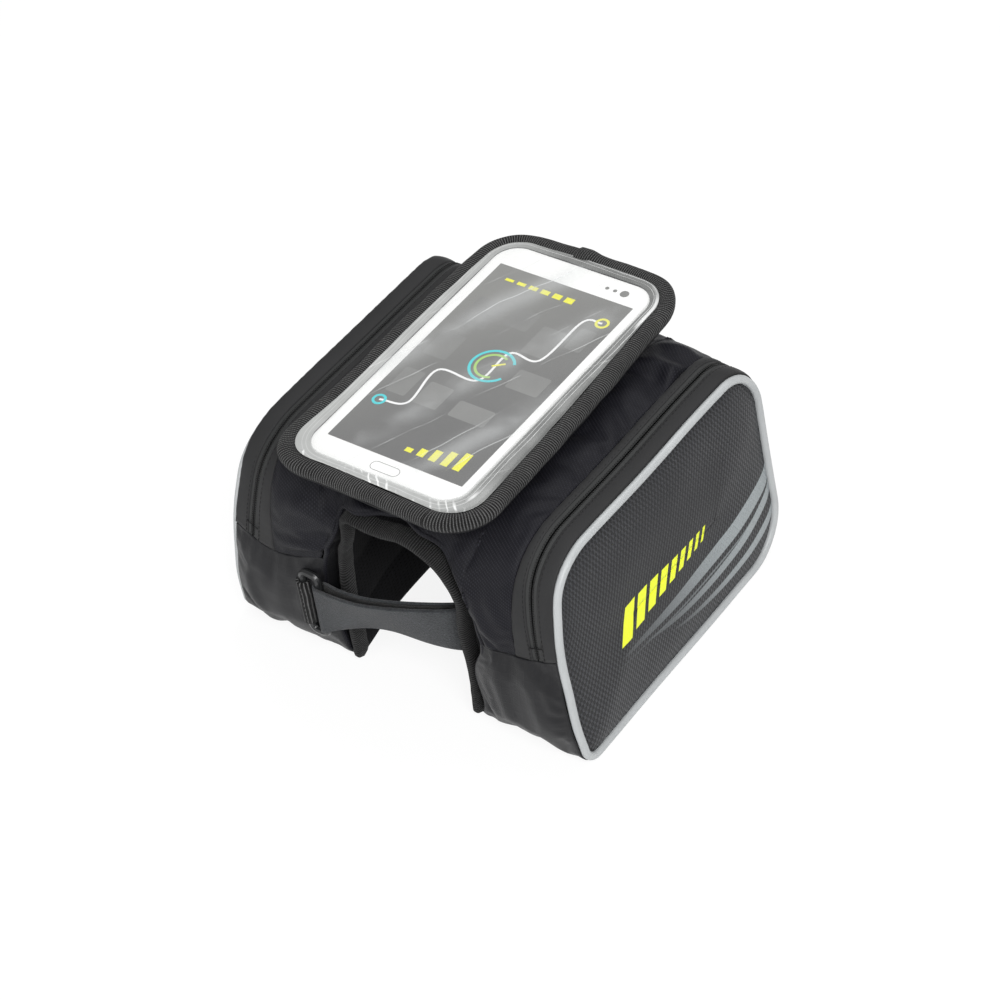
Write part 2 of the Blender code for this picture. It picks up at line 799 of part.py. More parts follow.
def add_slider(side, label):
    """Two plates, one on each side of the tapes, a neck through the slot and a bridge for the puller."""
    place = zip_frame(side)
    top_low = running_gap
    top_high = top_low + slider_plate
    low_high = -fabric - running_gap
    low_low = low_high - slider_lower_plate
    half = slider_length / 2
    mesh = bpy.data.meshes.new(f"{label}_zip_slider")
    work = bmesh.new()
    add_box(work, (-slider_width / 2, top_low, -half), (slider_width / 2, top_high, half))
    work.to_mesh(mesh)
    work.free()
    slider = add_object(f"{label}_zip_slider", mesh, slider_metal)
    slider.matrix_world = place
    sunk = slider_lower_plate / 2
    neck = box_object(
        f"{label}_slider_neck",
        (-slider_neck_thickness / 2, low_high - sunk, -slider_neck_length / 2),
        (slider_neck_thickness / 2, top_low + sunk, slider_neck_length / 2),
        cutter_collection,
    )
    join_with(slider, neck, place, "UNION")
    lower = box_object(
        f"{label}_slider_lower_plate",
        (-slider_width / 2 + lower_plate_inset, low_low, -half + lower_plate_inset),
        (slider_width / 2 - lower_plate_inset, low_high, half - lower_plate_inset),
        cutter_collection,
    )
    join_with(slider, lower, place, "UNION")
    bar_turn = math.hypot(puller_bar, puller_thickness) / 2
    eye_half = bar_turn + bridge_clearance
    eye_top = hinge_out() + bar_turn + bridge_clearance
    bridge = box_object(
        f"{label}_slider_bridge",
        (-bridge_width / 2, top_high - sunk, -eye_half - bridge_bar),
        (bridge_width / 2, eye_top + bridge_cover, eye_half + bridge_bar),
        cutter_collection,
    )
    join_with(slider, bridge, place, "UNION")
    eye = box_object(
        f"{label}_slider_eye",
        (-bridge_width, top_high, -eye_half),
        (bridge_width, eye_top, eye_half),
        cutter_collection,
    )
    join_with(slider, eye, place, "DIFFERENCE")
    bevel = slider.modifiers.new("Bevel", "BEVEL")
    bevel.width = slider_edge
    bevel.segments = 1
    bevel.limit_method = "ANGLE"
    return slider


def hinge_out():
    """Distance of the puller's axis out of the bag's surface: the bar turns clear of the slider's plate."""
    bar_turn = math.hypot(puller_bar, puller_thickness) / 2
    return running_gap + slider_plate + bar_turn + running_gap / 2


def add_puller(side, label):
    """A flat tab that hangs by the bar at the top of its eye."""
    curve = bpy.data.curves.new(f"{label}_zip_puller", "CURVE")
    curve.dimensions = "2D"
    curve.fill_mode = "BOTH"
    curve.extrude = puller_thickness / 2
    top = puller_bar / 2
    half = puller_width / 2
    neck_half = puller_eye_half + puller_eye_wall
    neck_end = -puller_eye_reach - puller_eye_wall
    outline = [
        (neck_half, top),
        (neck_half, neck_end),
        (half, neck_end - puller_shoulder),
        (half, -puller_length + puller_end_cut),
        (half - puller_end_cut, -puller_length),
    ]
    outline += [(-x, y) for x, y in reversed(outline)]
    eye = [
        (puller_eye_half, -top),
        (puller_eye_half, -puller_eye_reach),
        (-puller_eye_half, -puller_eye_reach),
        (-puller_eye_half, -top),
    ]
    for points in (outline, eye):
        spline = curve.splines.new("POLY")
        spline.points.add(len(points) - 1)
        for point, place in zip(spline.points, points):
            point.co = (*place, 0, 1)
        spline.use_cyclic_u = True
    puller = add_object(f"{label}_zip_puller", curve, slider_metal)
    out_shift = Matrix.Translation(Vector((0, hinge_out(), 0)))
    upright = Matrix.Rotation(math.pi / 2, 4, "X")
    puller.matrix_world = zip_frame(side) @ out_shift @ upright
    return puller


remove_all_objects()
bag_collection = make_collection("top_tube_phone_bag")
cutter_collection = make_collection("cutters")

panel_fabric = make_material("panel_fabric", (0.045, 0.045, 0.050), 0.55)
coated_fabric = make_material("coated_fabric", (0.020, 0.020, 0.022), 0.50)
ripstop = make_material("ripstop", (0.022, 0.021, 0.025), 0.70)
dobby_fabric = make_material("dobby_fabric", (0.024, 0.023, 0.028), 0.75)
pad_fabric = make_material("pad_fabric", (0.012, 0.012, 0.013), 0.85)
webbing = make_material("webbing", (0.018, 0.018, 0.019), 0.80)
strap_fabric = make_material("strap_fabric", (0.060, 0.063, 0.070), 0.70)
reflective = make_material("reflective", (0.50, 0.52, 0.54), 0.45)
zip_coil = make_material("zip_coil", (0.016, 0.016, 0.017), 0.45)
ring_plastic = make_material("ring_plastic", (0.35, 0.36, 0.37), 0.35)
slider_metal = make_material("slider_metal", (0.05, 0.05, 0.05), 0.40, metallic=0.8)
loop_fabric = make_material("loop_fabric", (0.015, 0.015, 0.016), 0.95)
hook_fabric = make_material("hook_fabric", (0.018, 0.018, 0.019), 0.80)
pouch_cloth = make_material("pouch_cloth", (0.018, 0.018, 0.019), 0.80)
foam = make_material("foam", (0.05, 0.05, 0.05), 0.95)
card_print = make_material("card_print", (0.85, 0.85, 0.84), 0.50)
clear_film = make_material("clear_film", (0.95, 0.96, 0.97), 0.08, alpha=0.25)

for bag_side, bag_label in ((1, "right"), (-1, "left")):
    add_side_bag(bag_side, bag_label)
    add_slider(bag_side, bag_label)
    add_puller(bag_side, bag_label)
add_saddle()
add_tunnel()
add_strap()
add_ring()
add_ring_tab()
add_pouch()
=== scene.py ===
"""The looks of the top tube phone bag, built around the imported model.

Lengths are in metres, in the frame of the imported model: +Z up, +Y to the front of the bicycle, +X to the
rider's right. Every piece of cloth carries a UV map named cloth, in metres along and across the cloth, which
the weaves and prints read.
"""

import math

import bmesh
import bpy
import numpy as np
from mathutils import Matrix, Vector


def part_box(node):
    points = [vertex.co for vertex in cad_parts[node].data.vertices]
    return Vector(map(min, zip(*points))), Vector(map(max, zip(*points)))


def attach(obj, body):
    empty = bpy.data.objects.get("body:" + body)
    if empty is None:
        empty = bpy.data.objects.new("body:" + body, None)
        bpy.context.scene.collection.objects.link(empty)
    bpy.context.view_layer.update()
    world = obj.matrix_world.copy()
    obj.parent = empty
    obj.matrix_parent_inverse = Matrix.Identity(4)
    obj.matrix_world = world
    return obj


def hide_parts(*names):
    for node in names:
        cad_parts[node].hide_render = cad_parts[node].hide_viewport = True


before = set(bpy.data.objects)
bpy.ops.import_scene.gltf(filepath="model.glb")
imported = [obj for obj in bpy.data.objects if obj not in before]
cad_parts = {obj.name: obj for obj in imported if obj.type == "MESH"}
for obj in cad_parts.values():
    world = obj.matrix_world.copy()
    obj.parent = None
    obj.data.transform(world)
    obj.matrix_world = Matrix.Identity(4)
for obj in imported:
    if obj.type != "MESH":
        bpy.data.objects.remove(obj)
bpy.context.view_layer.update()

mm = 0.001

# Sizes shared with the construction
base_half_width = 91.3 * mm
lean = 0.1148
body_height = 102.5 * mm
seam_rise = 1.5 * mm
rear_bottom_y, rear_top_y = -77.0 * mm, -80.0 * mm
front_bottom_y, front_top_y = 75.5 * mm, 79.3 * mm
rear_bottom_round, rear_top_round = 9 * mm, 34 * mm
front_bottom_round, front_top_round = 26 * mm, 23 * mm
piping_radius = 2.0 * mm
piping_depth = 0.5 * mm
zip_from_panel = 11.0 * mm
zip_slot = 1.3 * mm
zip_tape_width = 2.2 * mm
upper_gusset_width = 17.3 * mm
rear_seam_outer, rear_seam_dip = 61.0 * mm, 53.0 * mm
rear_seam_dip_from_edge = 32.3 * mm
front_seam = 28.0 * mm
saddle_top = 104.5 * mm
middle_round = 12 * mm
round_blend_from, round_blend_to = 16 * mm, 37 * mm
tunnel_floor_half, tunnel_spring_half = 33.0 * mm, 37.5 * mm
tunnel_spring_z = 66.0 * mm
crown_flat_half = 5.0 * mm
crown_rise = 33.0 * mm
crown_half = tunnel_spring_half - crown_flat_half
pad_thickness = 3.0 * mm
wall_offset = 3.3 * mm
cloth_edge = 1.6 * mm
binding_width = 9.0 * mm
pad_rear_y, pad_front_y = -77.5 * mm, 77.0 * mm

side_first = piping_radius + piping_depth + 0.3 * mm
gusset_seam_x = base_half_width - lean * body_height - upper_gusset_width
notch_x = tunnel_spring_half + wall_offset + cloth_edge
cloth_thickness = 0.9 * mm
panel_thickness = 1.4 * mm
tape_thickness = 0.7 * mm
lining_thickness = 0.5 * mm
film_thickness = 0.12 * mm

# Points nearer to each other than this are joined where parts of a mesh meet
weld_distance = 0.02 * mm

# Slack cloth: its extra length as a share, the frames it moves for, and the scale it is worked out at
cloth_slack = 0.03
cloth_frames = 24
cloth_scale = 10.0
cloth_stiffness = 8.0


# Smooth fields and paths

def waves(points, wavelength, seed):
    """A smooth field over points, about -1 to 1, from a few plane waves in fixed directions."""
    total = np.zeros(points.shape[:-1])
    for i in range(7):
        turn = seed * 12.9898 + i * 2.39996
        rise = math.sin(seed * 3.7 + i * 1.91)
        flat = math.sqrt(1 - rise * rise)
        direction = np.array((math.cos(turn) * flat, math.sin(turn) * flat, rise))
        length = wavelength * (0.75 + 0.5 * ((i * 0.618) % 1))
        total += np.sin(points @ direction * (2 * math.pi / length) + seed * 5.1 + i * 1.7)
    return total / 3.2


def smooth(low, high, value):
    """Rises smoothly from 0 at low to 1 at high."""
    share = np.clip((value - low) / (high - low), 0, 1)
    return share * share * (3 - 2 * share)


def arc(before, corner, after, radius, steps=24):
    """Points of the arc that rounds a corner of a flat path."""
    before, corner, after = (np.array(p, float) for p in (before, corner, after))
    back = (before - corner) / np.linalg.norm(before - corner)
    ahead = (after - corner) / np.linalg.norm(after - corner)
    half = math.acos(np.clip(back @ ahead, -1, 1)) / 2
    bisector = (back + ahead) / np.linalg.norm(back + ahead)
    centre = corner + bisector * (radius / math.sin(half))
    first = corner + back * (radius / math.tan(half)) - centre
    last = corner + ahead * (radius / math.tan(half)) - centre
    sweep = math.pi - 2 * half
    side = (last - first * math.cos(sweep)) / math.sin(sweep)
    turns = np.linspace(0, sweep, steps + 1)[:, None]
    return centre + first * np.cos(turns) + side * np.sin(turns)


def rounded(corners, radii, steps=24):
    """A closed path through corners, rounded by the radius of each."""
    around = zip(corners[-1:] + corners[:-1], corners, corners[1:] + corners[:1], radii)
    return np.vstack([arc(before, corner, after, radius, steps) for before, corner, after, radius in around])


def path_lengths(path):
    """The distance along a path at each of its points."""
    return np.concatenate(([0], np.cumsum(np.linalg.norm(np.diff(path, axis=0), axis=1))))


def headings(path, closed=False):
    """Unit directions along a path."""
    ahead = np.roll(path, -1, axis=0) - np.roll(path, 1, axis=0) if closed else np.gradient(path, axis=0)
    return ahead / np.linalg.norm(ahead, axis=1, keepdims=True)


def resampled(path, count, start=0.0, end=None):
    """count points, evenly spaced along a path from one distance along it to another."""
    lengths = path_lengths(path)
    wanted = np.linspace(start, lengths[-1] if end is None else end, count)
    return np.stack([np.interp(wanted, lengths, path[:, i]) for i in range(path.shape[1])], axis=1)


def closed_resampled(path, count):
    """count points, evenly spaced round a closed path, without a repeated end."""
    return resampled(np.vstack((path, path[:1])), count + 1)[:-1]


def outer_x(height):
    """Half width of the bag between its side panels' planes, at a height."""
    return base_half_width - lean * height


def tunnel_half(height, offset):
    """Half width of the tunnel at a height below its crown, moved outwards by offset."""
    height = np.asarray(height, float)
    share = np.clip(height / tunnel_spring_z, 0, 1)
    straight = tunnel_floor_half + (tunnel_spring_half - tunnel_floor_half) * share + offset
    up = np.clip((height - tunnel_spring_z) / (crown_rise + offset), 0, 1)
    arch = crown_flat_half + (crown_half + offset) * np.sqrt(1 - up * up)
    return np.where(height <= tunnel_spring_z, straight, arch)


def side_outline(inset, count):
    """The side bag's closed outline in Y and Z, moved inwards by inset."""
    corners = [
        (rear_bottom_y + inset, inset), (rear_top_y + inset, body_height - inset),
        (front_top_y - inset, body_height - inset), (front_bottom_y - inset, inset),
    ]
    rounds = (rear_bottom_round, rear_top_round, front_top_round, front_bottom_round)
    return closed_resampled(rounded(corners, [max(2 * mm, radius - inset) for radius in rounds]), count)


def corner_round(across, side_round):
    """Radius of the rounding between top and end face, at a distance from the middle."""
    share = smooth(round_blend_from, round_blend_to, across)
    return middle_round + (side_round - middle_round) * share


def rear_seam(across):
    """Height of the seam between saddle and lower cloth at the rear, at a distance from the middle."""
    dip_x = outer_x(rear_seam_outer) - rear_seam_dip_from_edge
    share = (across - dip_x) / rear_seam_dip_from_edge
    return rear_seam_dip + (rear_seam_outer - rear_seam_dip) * share * share


def seam_ends(top, seam):
    """The places in Y and Z of the rear seam and of the front seam, where the ends lean out up to a top."""
    rear_slope = (rear_top_y - rear_bottom_y) / top
    front_slope = (front_top_y - front_bottom_y) / top
    return (np.array([[rear_bottom_y + rear_slope * seam, seam]]),
            np.array([[front_bottom_y + front_slope * front_seam, front_seam]]))


def upper_path(top, rear_round, front_round, seam):
    """Points in Y and Z from the rear seam up, over the top and down to the front seam."""
    start, end = seam_ends(top, seam)
    rear_arc = arc((rear_bottom_y, 0), (rear_top_y, top), (front_top_y, top), rear_round)
    front_arc = arc((rear_top_y, top), (front_top_y, top), (front_bottom_y, 0), front_round)
    return np.vstack((start, rear_arc, front_arc, end))


def lower_path(seam):
    """Points in Y and Z from the front seam down, under the bottom and up to the rear seam."""
    end, start = seam_ends(body_height, seam)
    front_arc = arc(
        (front_top_y, body_height), (front_bottom_y, 0), (rear_bottom_y, 0), front_bottom_round
    )
    rear_arc = arc((front_bottom_y, 0), (rear_bottom_y, 0), (rear_top_y, body_height), rear_bottom_round)
    return np.vstack((start, front_arc, rear_arc, end))


# Places where the empty bag has sagged or been pushed in, in millimetres: centre, reach and shift. The first
# ones move everything there, the others only the tunnel's pad or only the outer cloth.
pushes_all = (
    ((-36, -77, 77), (15, 26, 20), (14, 0, -1)),
    ((-34, -77, 6), (10, 24, 24), (5, 0, 0)),
    ((-40, -77, 55), (13, 14, 13), (3, 0, 8)),
    ((-12, -74, 100), (17, 20, 12), (4, 0, -7)),
    ((86, -80, 80), (26, 13, 17), (0, 4.2, 0)),
    ((-86, -80, 80), (26, 13, 17), (0, 4.2, 0)),
    ((86, -78, 24), (26, 12, 16), (0, -1.6, 0)),
    ((-86, -78, 24), (26, 12, 16), (0, -1.6, 0)),
    ((90, 76, 94), (11, 12, 12), (0, -3, 0)),
    ((-90, 76, 94), (11, 12, 12), (0, -3, 0)),
)
pushes_pad = (
    ((36, -77, 52), (11, 24, 18), (-4.5, 0, 0)),
    ((34, -77, 80), (16, 24, 18), (-5, 0, -2)),
    ((20, -77, 97), (18, 24, 13), (-1, 0, -5)),
    ((-2, -77, 99), (20, 24, 13), (0, 0, -4)),
    ((-36, -77, 40), (13, 28, 26), (7, 0, 0)),
)
pushes_outer = (
    ((34, -76, 88), (10, 14, 12), (-3.5, 0, 0)),
    ((42, -77, 51), (11, 12, 13), (6.5, -2, 0)),
    ((38, -77, 13), (9, 12, 11), (4, 0, 0)),
    ((-68, -79, 30), (12, 8, 26), (0, -2.5, 0)),
)


def beside_zip_run(points):
    """1 beside the zips' straight runs at the front, where a slider passes, and 0 away from them."""
    from_zip = np.abs(np.abs(points[..., 0]) - (outer_x(points[..., 2]) - zip_from_panel))
    near = smooth(14 * mm, 7 * mm, from_zip) * smooth(60 * mm, 68 * mm, points[..., 1])
    return near * smooth(28 * mm, 36 * mm, points[..., 2]) * smooth(112 * mm, 104 * mm, points[..., 2])


def push(moved, points, pushes):
    """Shifts moved by the pushes that act at points, in millimetres: centre, reach and shift."""
    for centre, reach, shift in pushes:
        away = (points / mm - np.array(centre)) / np.array(reach)
        moved += np.exp(-(away ** 2).sum(axis=-1))[..., None] * np.array(shift) * mm


def settled(points, outer=True):
    """The soft bag's unevenness, the same for every piece at the same place, so that seams stay together."""
    moved = points.copy()
    for axis in range(3):
        moved[..., axis] += 0.4 * mm * waves(points, 85 * mm, 3 + axis)
    push(moved, points, pushes_all + (pushes_outer if outer else pushes_pad))
    moved += (points - moved) * beside_zip_run(points)[..., None]
    low = smooth(8 * mm, 0, points[..., 2])
    moved[..., 2] += (points[..., 2] - moved[..., 2]) * low
    return moved


def creased(points, normals, creases):
    """Points raised along soft creases, with a valley beside each. A crease is its start, end, width and
    height in millimetres."""
    raised = points.copy()
    flat = points / mm
    for start, end, width, height in creases:
        start, end = np.array(start, float), np.array(end, float)
        line = end - start
        share = np.clip(((flat - start) @ line) / (line @ line), 0, 1)
        away = np.linalg.norm(flat - (start + share[..., None] * line), axis=-1) / width
        fade = np.sin(math.pi * np.clip(share * 0.86 + 0.07, 0, 1)) ** 0.7
        lift = (1 - 0.9 * away ** 2) * np.exp(-away ** 2) * fade * height * mm
        raised += normals * lift[..., None]
    return raised


def saddle_height(across):
    """Height of the saddle's top, which falls to its seams beside the zips."""
    seam_top = body_height + seam_rise
    return saddle_top + (seam_top - saddle_top) * across / gusset_seam_x


# Meshes from grids of points

def grid_mesh(name, points, cloth, wrap=False, inside=None):
    """A mesh through a grid of points. cloth holds each point's place on the flat cloth, and where the grid
    closes on itself it has one more column than points."""
    rows, columns = points.shape[:2]
    across = columns if wrap else columns - 1
    row, column = np.meshgrid(np.arange(rows - 1), np.arange(across), indexing="ij")
    row, column = row.ravel(), column.ravel()
    following = (column + 1) % columns
    faces = np.stack(
        (row * columns + column, row * columns + following, (row + 1) * columns + following,
         (row + 1) * columns + column), axis=1
    )
    corners = np.stack((
        cloth[row, column], cloth[row, column + 1], cloth[row + 1, column + 1], cloth[row + 1, column]
    ), axis=1)
    flat = points.reshape(-1, 3)
    if inside is not None:
        a, b, c = (flat[faces[:, i]] for i in (0, 1, 2))
        normals = np.cross(b - a, c - a)
        if (normals * (a - np.array(inside))).sum() < 0:
            faces, corners = faces[:, ::-1], corners[:, ::-1]
    mesh = bpy.data.meshes.new(name)
    mesh.from_pydata(flat.tolist(), [], faces.tolist())
    layer = mesh.uv_layers.new(name="cloth")
    layer.data.foreach_set("uv", np.ascontiguousarray(corners).reshape(-1).astype(np.float32))
    mesh.shade_smooth()
    return mesh


def weld(mesh):
    """Joins the points of a mesh that meet, as where its grid closes on itself."""
    work = bmesh.new()
    work.from_mesh(mesh)
    bmesh.ops.remove_doubles(work, verts=work.verts[:], dist=weld_distance)
    bmesh.ops.dissolve_degenerate(work, edges=work.edges[:], dist=weld_distance)
    work.to_mesh(mesh)
    work.free()
    mesh.shade_smooth()
    return mesh


def joined(name, meshes):
    """One mesh from several, welded where they meet."""
    work = bmesh.new()
    for mesh in meshes:
        work.from_mesh(mesh)
    bmesh.ops.remove_doubles(work, verts=work.verts[:], dist=weld_distance)
    made = bpy.data.meshes.new(name)
    work.to_mesh(made)
    work.free()
    made.shade_smooth()
    for mesh in meshes:
        bpy.data.meshes.remove(mesh)
    return made


def faced_outwards(mesh, capped=False, most_sides=0):
    """Turns a mesh's faces outwards, after closing its open ends where capped is set. Faces of more sides
    than most_sides are cut into triangles, unless it is 0."""
    work = bmesh.new()
    work.from_mesh(mesh)
    if capped:
        bmesh.ops.holes_fill(work, edges=[e for e in work.edges if e.is_boundary], sides=0)
    bmesh.ops.recalc_face_normals(work, faces=work.faces[:])
    if most_sides:
        bmesh.ops.triangulate(work, faces=[f for f in work.faces if len(f.verts) > most_sides])
    work.to_mesh(mesh)
    work.free()


def loft(verts, faces, rings):
    """Adds a solid through rings of points to a mesh's lists, with both of its ends closed."""
    base, around = len(verts), len(rings[0])
    verts += [tuple(point) for ring in rings for point in ring]
    for k in range(len(rings) - 1):
        for i in range(around):
            a = base + k * around + i
            b = base + k * around + (i + 1) % around
            faces.append((a, b, b + around, a + around))
    faces.append([base + i for i in reversed(range(around))])
    faces.append([base + (len(rings) - 1) * around + i for i in range(around)])


def listed_mesh(name, verts, faces):
    """A mesh from lists of points and faces."""
    mesh = bpy.data.meshes.new(name)
    mesh.from_pydata(verts, [], faces)
    return mesh


def flat_map(across, along):
    """A cloth map from the places of its columns across and of its rows along."""
    return np.stack(np.meshgrid(across, along), axis=2)


def in_space(x, flat):
    """Points in space from their X and their places in Y and Z."""
    return np.concatenate((np.broadcast_to(x, flat.shape[:-1])[..., None], flat), axis=-1)


def drawn_out(x, y, z):
    """A grid from a section in X and Z, drawn out along Y."""
    return np.stack(np.broadcast_arrays(x[:, None], y[None], z[:, None]), axis=2)


def placed(name, data):
    """A new object in the scene."""
    made = bpy.data.objects.new(name, data)
    bpy.context.scene.collection.objects.link(made)
    return made


def turns_round(count):
    """Evenly spaced angles round a circle."""
    return np.linspace(0, 2 * math.pi, count, endpoint=False)


def cloth_map(points):
    """Lengths along the middle row and column of a grid, as places on the flat cloth."""
    rows, columns = points.shape[:2]
    along = path_lengths(points[:, columns // 2])
    across = np.zeros((rows, columns))
    across[:, 1:] = np.cumsum(np.linalg.norm(np.diff(points, axis=1), axis=2), axis=1)
    across -= across[:, columns // 2][:, None]
    return np.stack((across, np.repeat(along[:, None], columns, axis=1)), axis=2)


def add_piece(name, mesh, material, slot, replaces=(), body="bag", thickness=0.0, inner=None, offset=-1.0):
    """An object for a mesh, riding on a body. thickness makes a sheet of it, with inner as the material of
    its other side."""
    piece = placed(name, mesh)
    mesh.materials.clear()
    mesh.materials.append(material)
    if thickness:
        solidify = piece.modifiers.new("Thickness", "SOLIDIFY")
        solidify.thickness = thickness
        solidify.offset = offset
        if inner is not None:
            mesh.materials.append(inner)
            solidify.material_offset = 1
    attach(piece, body)
    if replaces:
        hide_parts(*replaces)
    return piece


def add_grid(name, points, cloth, material, slot, replaces=(), inside=None, **options):
    """A piece through a grid of points, facing away from a point inside. The options are add_piece's."""
    mesh = grid_mesh(name, points, cloth, inside=inside)
    return add_piece(name, mesh, material, slot, replaces, **options)


def declare_sheet(piece):
    """Reads the corners of a piece's cloth map, and does nothing more with them."""
    mesh = piece.data
    corners = np.zeros(len(mesh.loops) * 2)
    mesh.uv_layers["cloth"].data.foreach_get("uv", corners)
    corners = corners.reshape(-1, 2)


def subdivide(piece):
    """Adds a Subdivision modifier, before any Solidify."""
    modifier = piece.modifiers.new("Smooth", "SUBSURF")
    modifier.levels = 1
    modifier.render_levels = 1
    modifier.uv_smooth = "PRESERVE_BOUNDARIES"
    if len(piece.modifiers) > 1:
        piece.modifiers.move(len(piece.modifiers) - 1, 0)


# Cloth simulation

def simulated(mesh, pinned, pressure, cap):
    """The mesh's points after Cloth has let its slack buckle, moved by no more than cap. pinned holds each
    point's pin weight."""
    start = get_points(mesh)
    work_mesh = mesh.copy()
    work_mesh.vertices.foreach_set("co", (start * cloth_scale).ravel())
    work = placed("simulated_cloth", work_mesh)
    pins = work.vertex_groups.new(name="pins")
    for weight in np.unique(np.round(pinned, 2)):
        if weight > 0:
            members = np.nonzero(np.round(pinned, 2) == weight)[0].tolist()
            pins.add(members, float(weight), "REPLACE")
    cloth = work.modifiers.new("Cloth", "CLOTH")
    settings = cloth.settings
    settings.vertex_group_mass = "pins"
    settings.quality = 8
    settings.mass = 0.15
    settings.air_damping = 2.0
    settings.tension_stiffness = cloth_stiffness
    settings.compression_stiffness = cloth_stiffness
    settings.shear_stiffness = cloth_stiffness / 2
    settings.bending_stiffness = 0.4
    settings.shrink_min = -cloth_slack
    settings.effector_weights.gravity = 0.0
    settings.use_pressure = True
    settings.uniform_pressure_force = pressure
    cloth.collision_settings.use_collision = False
    cloth.collision_settings.use_self_collision = False
    scene = bpy.context.scene
    cloth.point_cache.frame_start = 1
    cloth.point_cache.frame_end = cloth_frames
    for number in range(1, cloth_frames + 1):
        scene.frame_set(number)
    moved = get_points(work.evaluated_get(bpy.context.evaluated_depsgraph_get()).to_mesh())
    bpy.data.objects.remove(work)
    bpy.data.meshes.remove(work_mesh)
    scene.frame_set(1)
    shift = moved / cloth_scale - start
    length = np.linalg.norm(shift, axis=1, keepdims=True)
    return start + shift * np.minimum(1, cap / np.maximum(length, 1e-9))


def set_points(mesh, points):
    """Moves a mesh's points to new places."""
    mesh.vertices.foreach_set("co", np.ascontiguousarray(points, np.float32).ravel())
    mesh.update()


def get_points(mesh):
    """The places of a mesh's points."""
    points = np.zeros(len(mesh.vertices) * 3)
    mesh.vertices.foreach_get("co", points)
    return points.reshape(-1, 3)


def boundary_mask(mesh):
    """True for the points on an open edge of the mesh."""
    counts = {}
    for polygon in mesh.polygons:
        for key in polygon.edge_keys:
            counts[key] = counts.get(key, 0) + 1
    mask = np.zeros(len(mesh.vertices), bool)
    for (a, b), uses in counts.items():
        if uses == 1:
            mask[[a, b]] = True
    return mask


# Materials

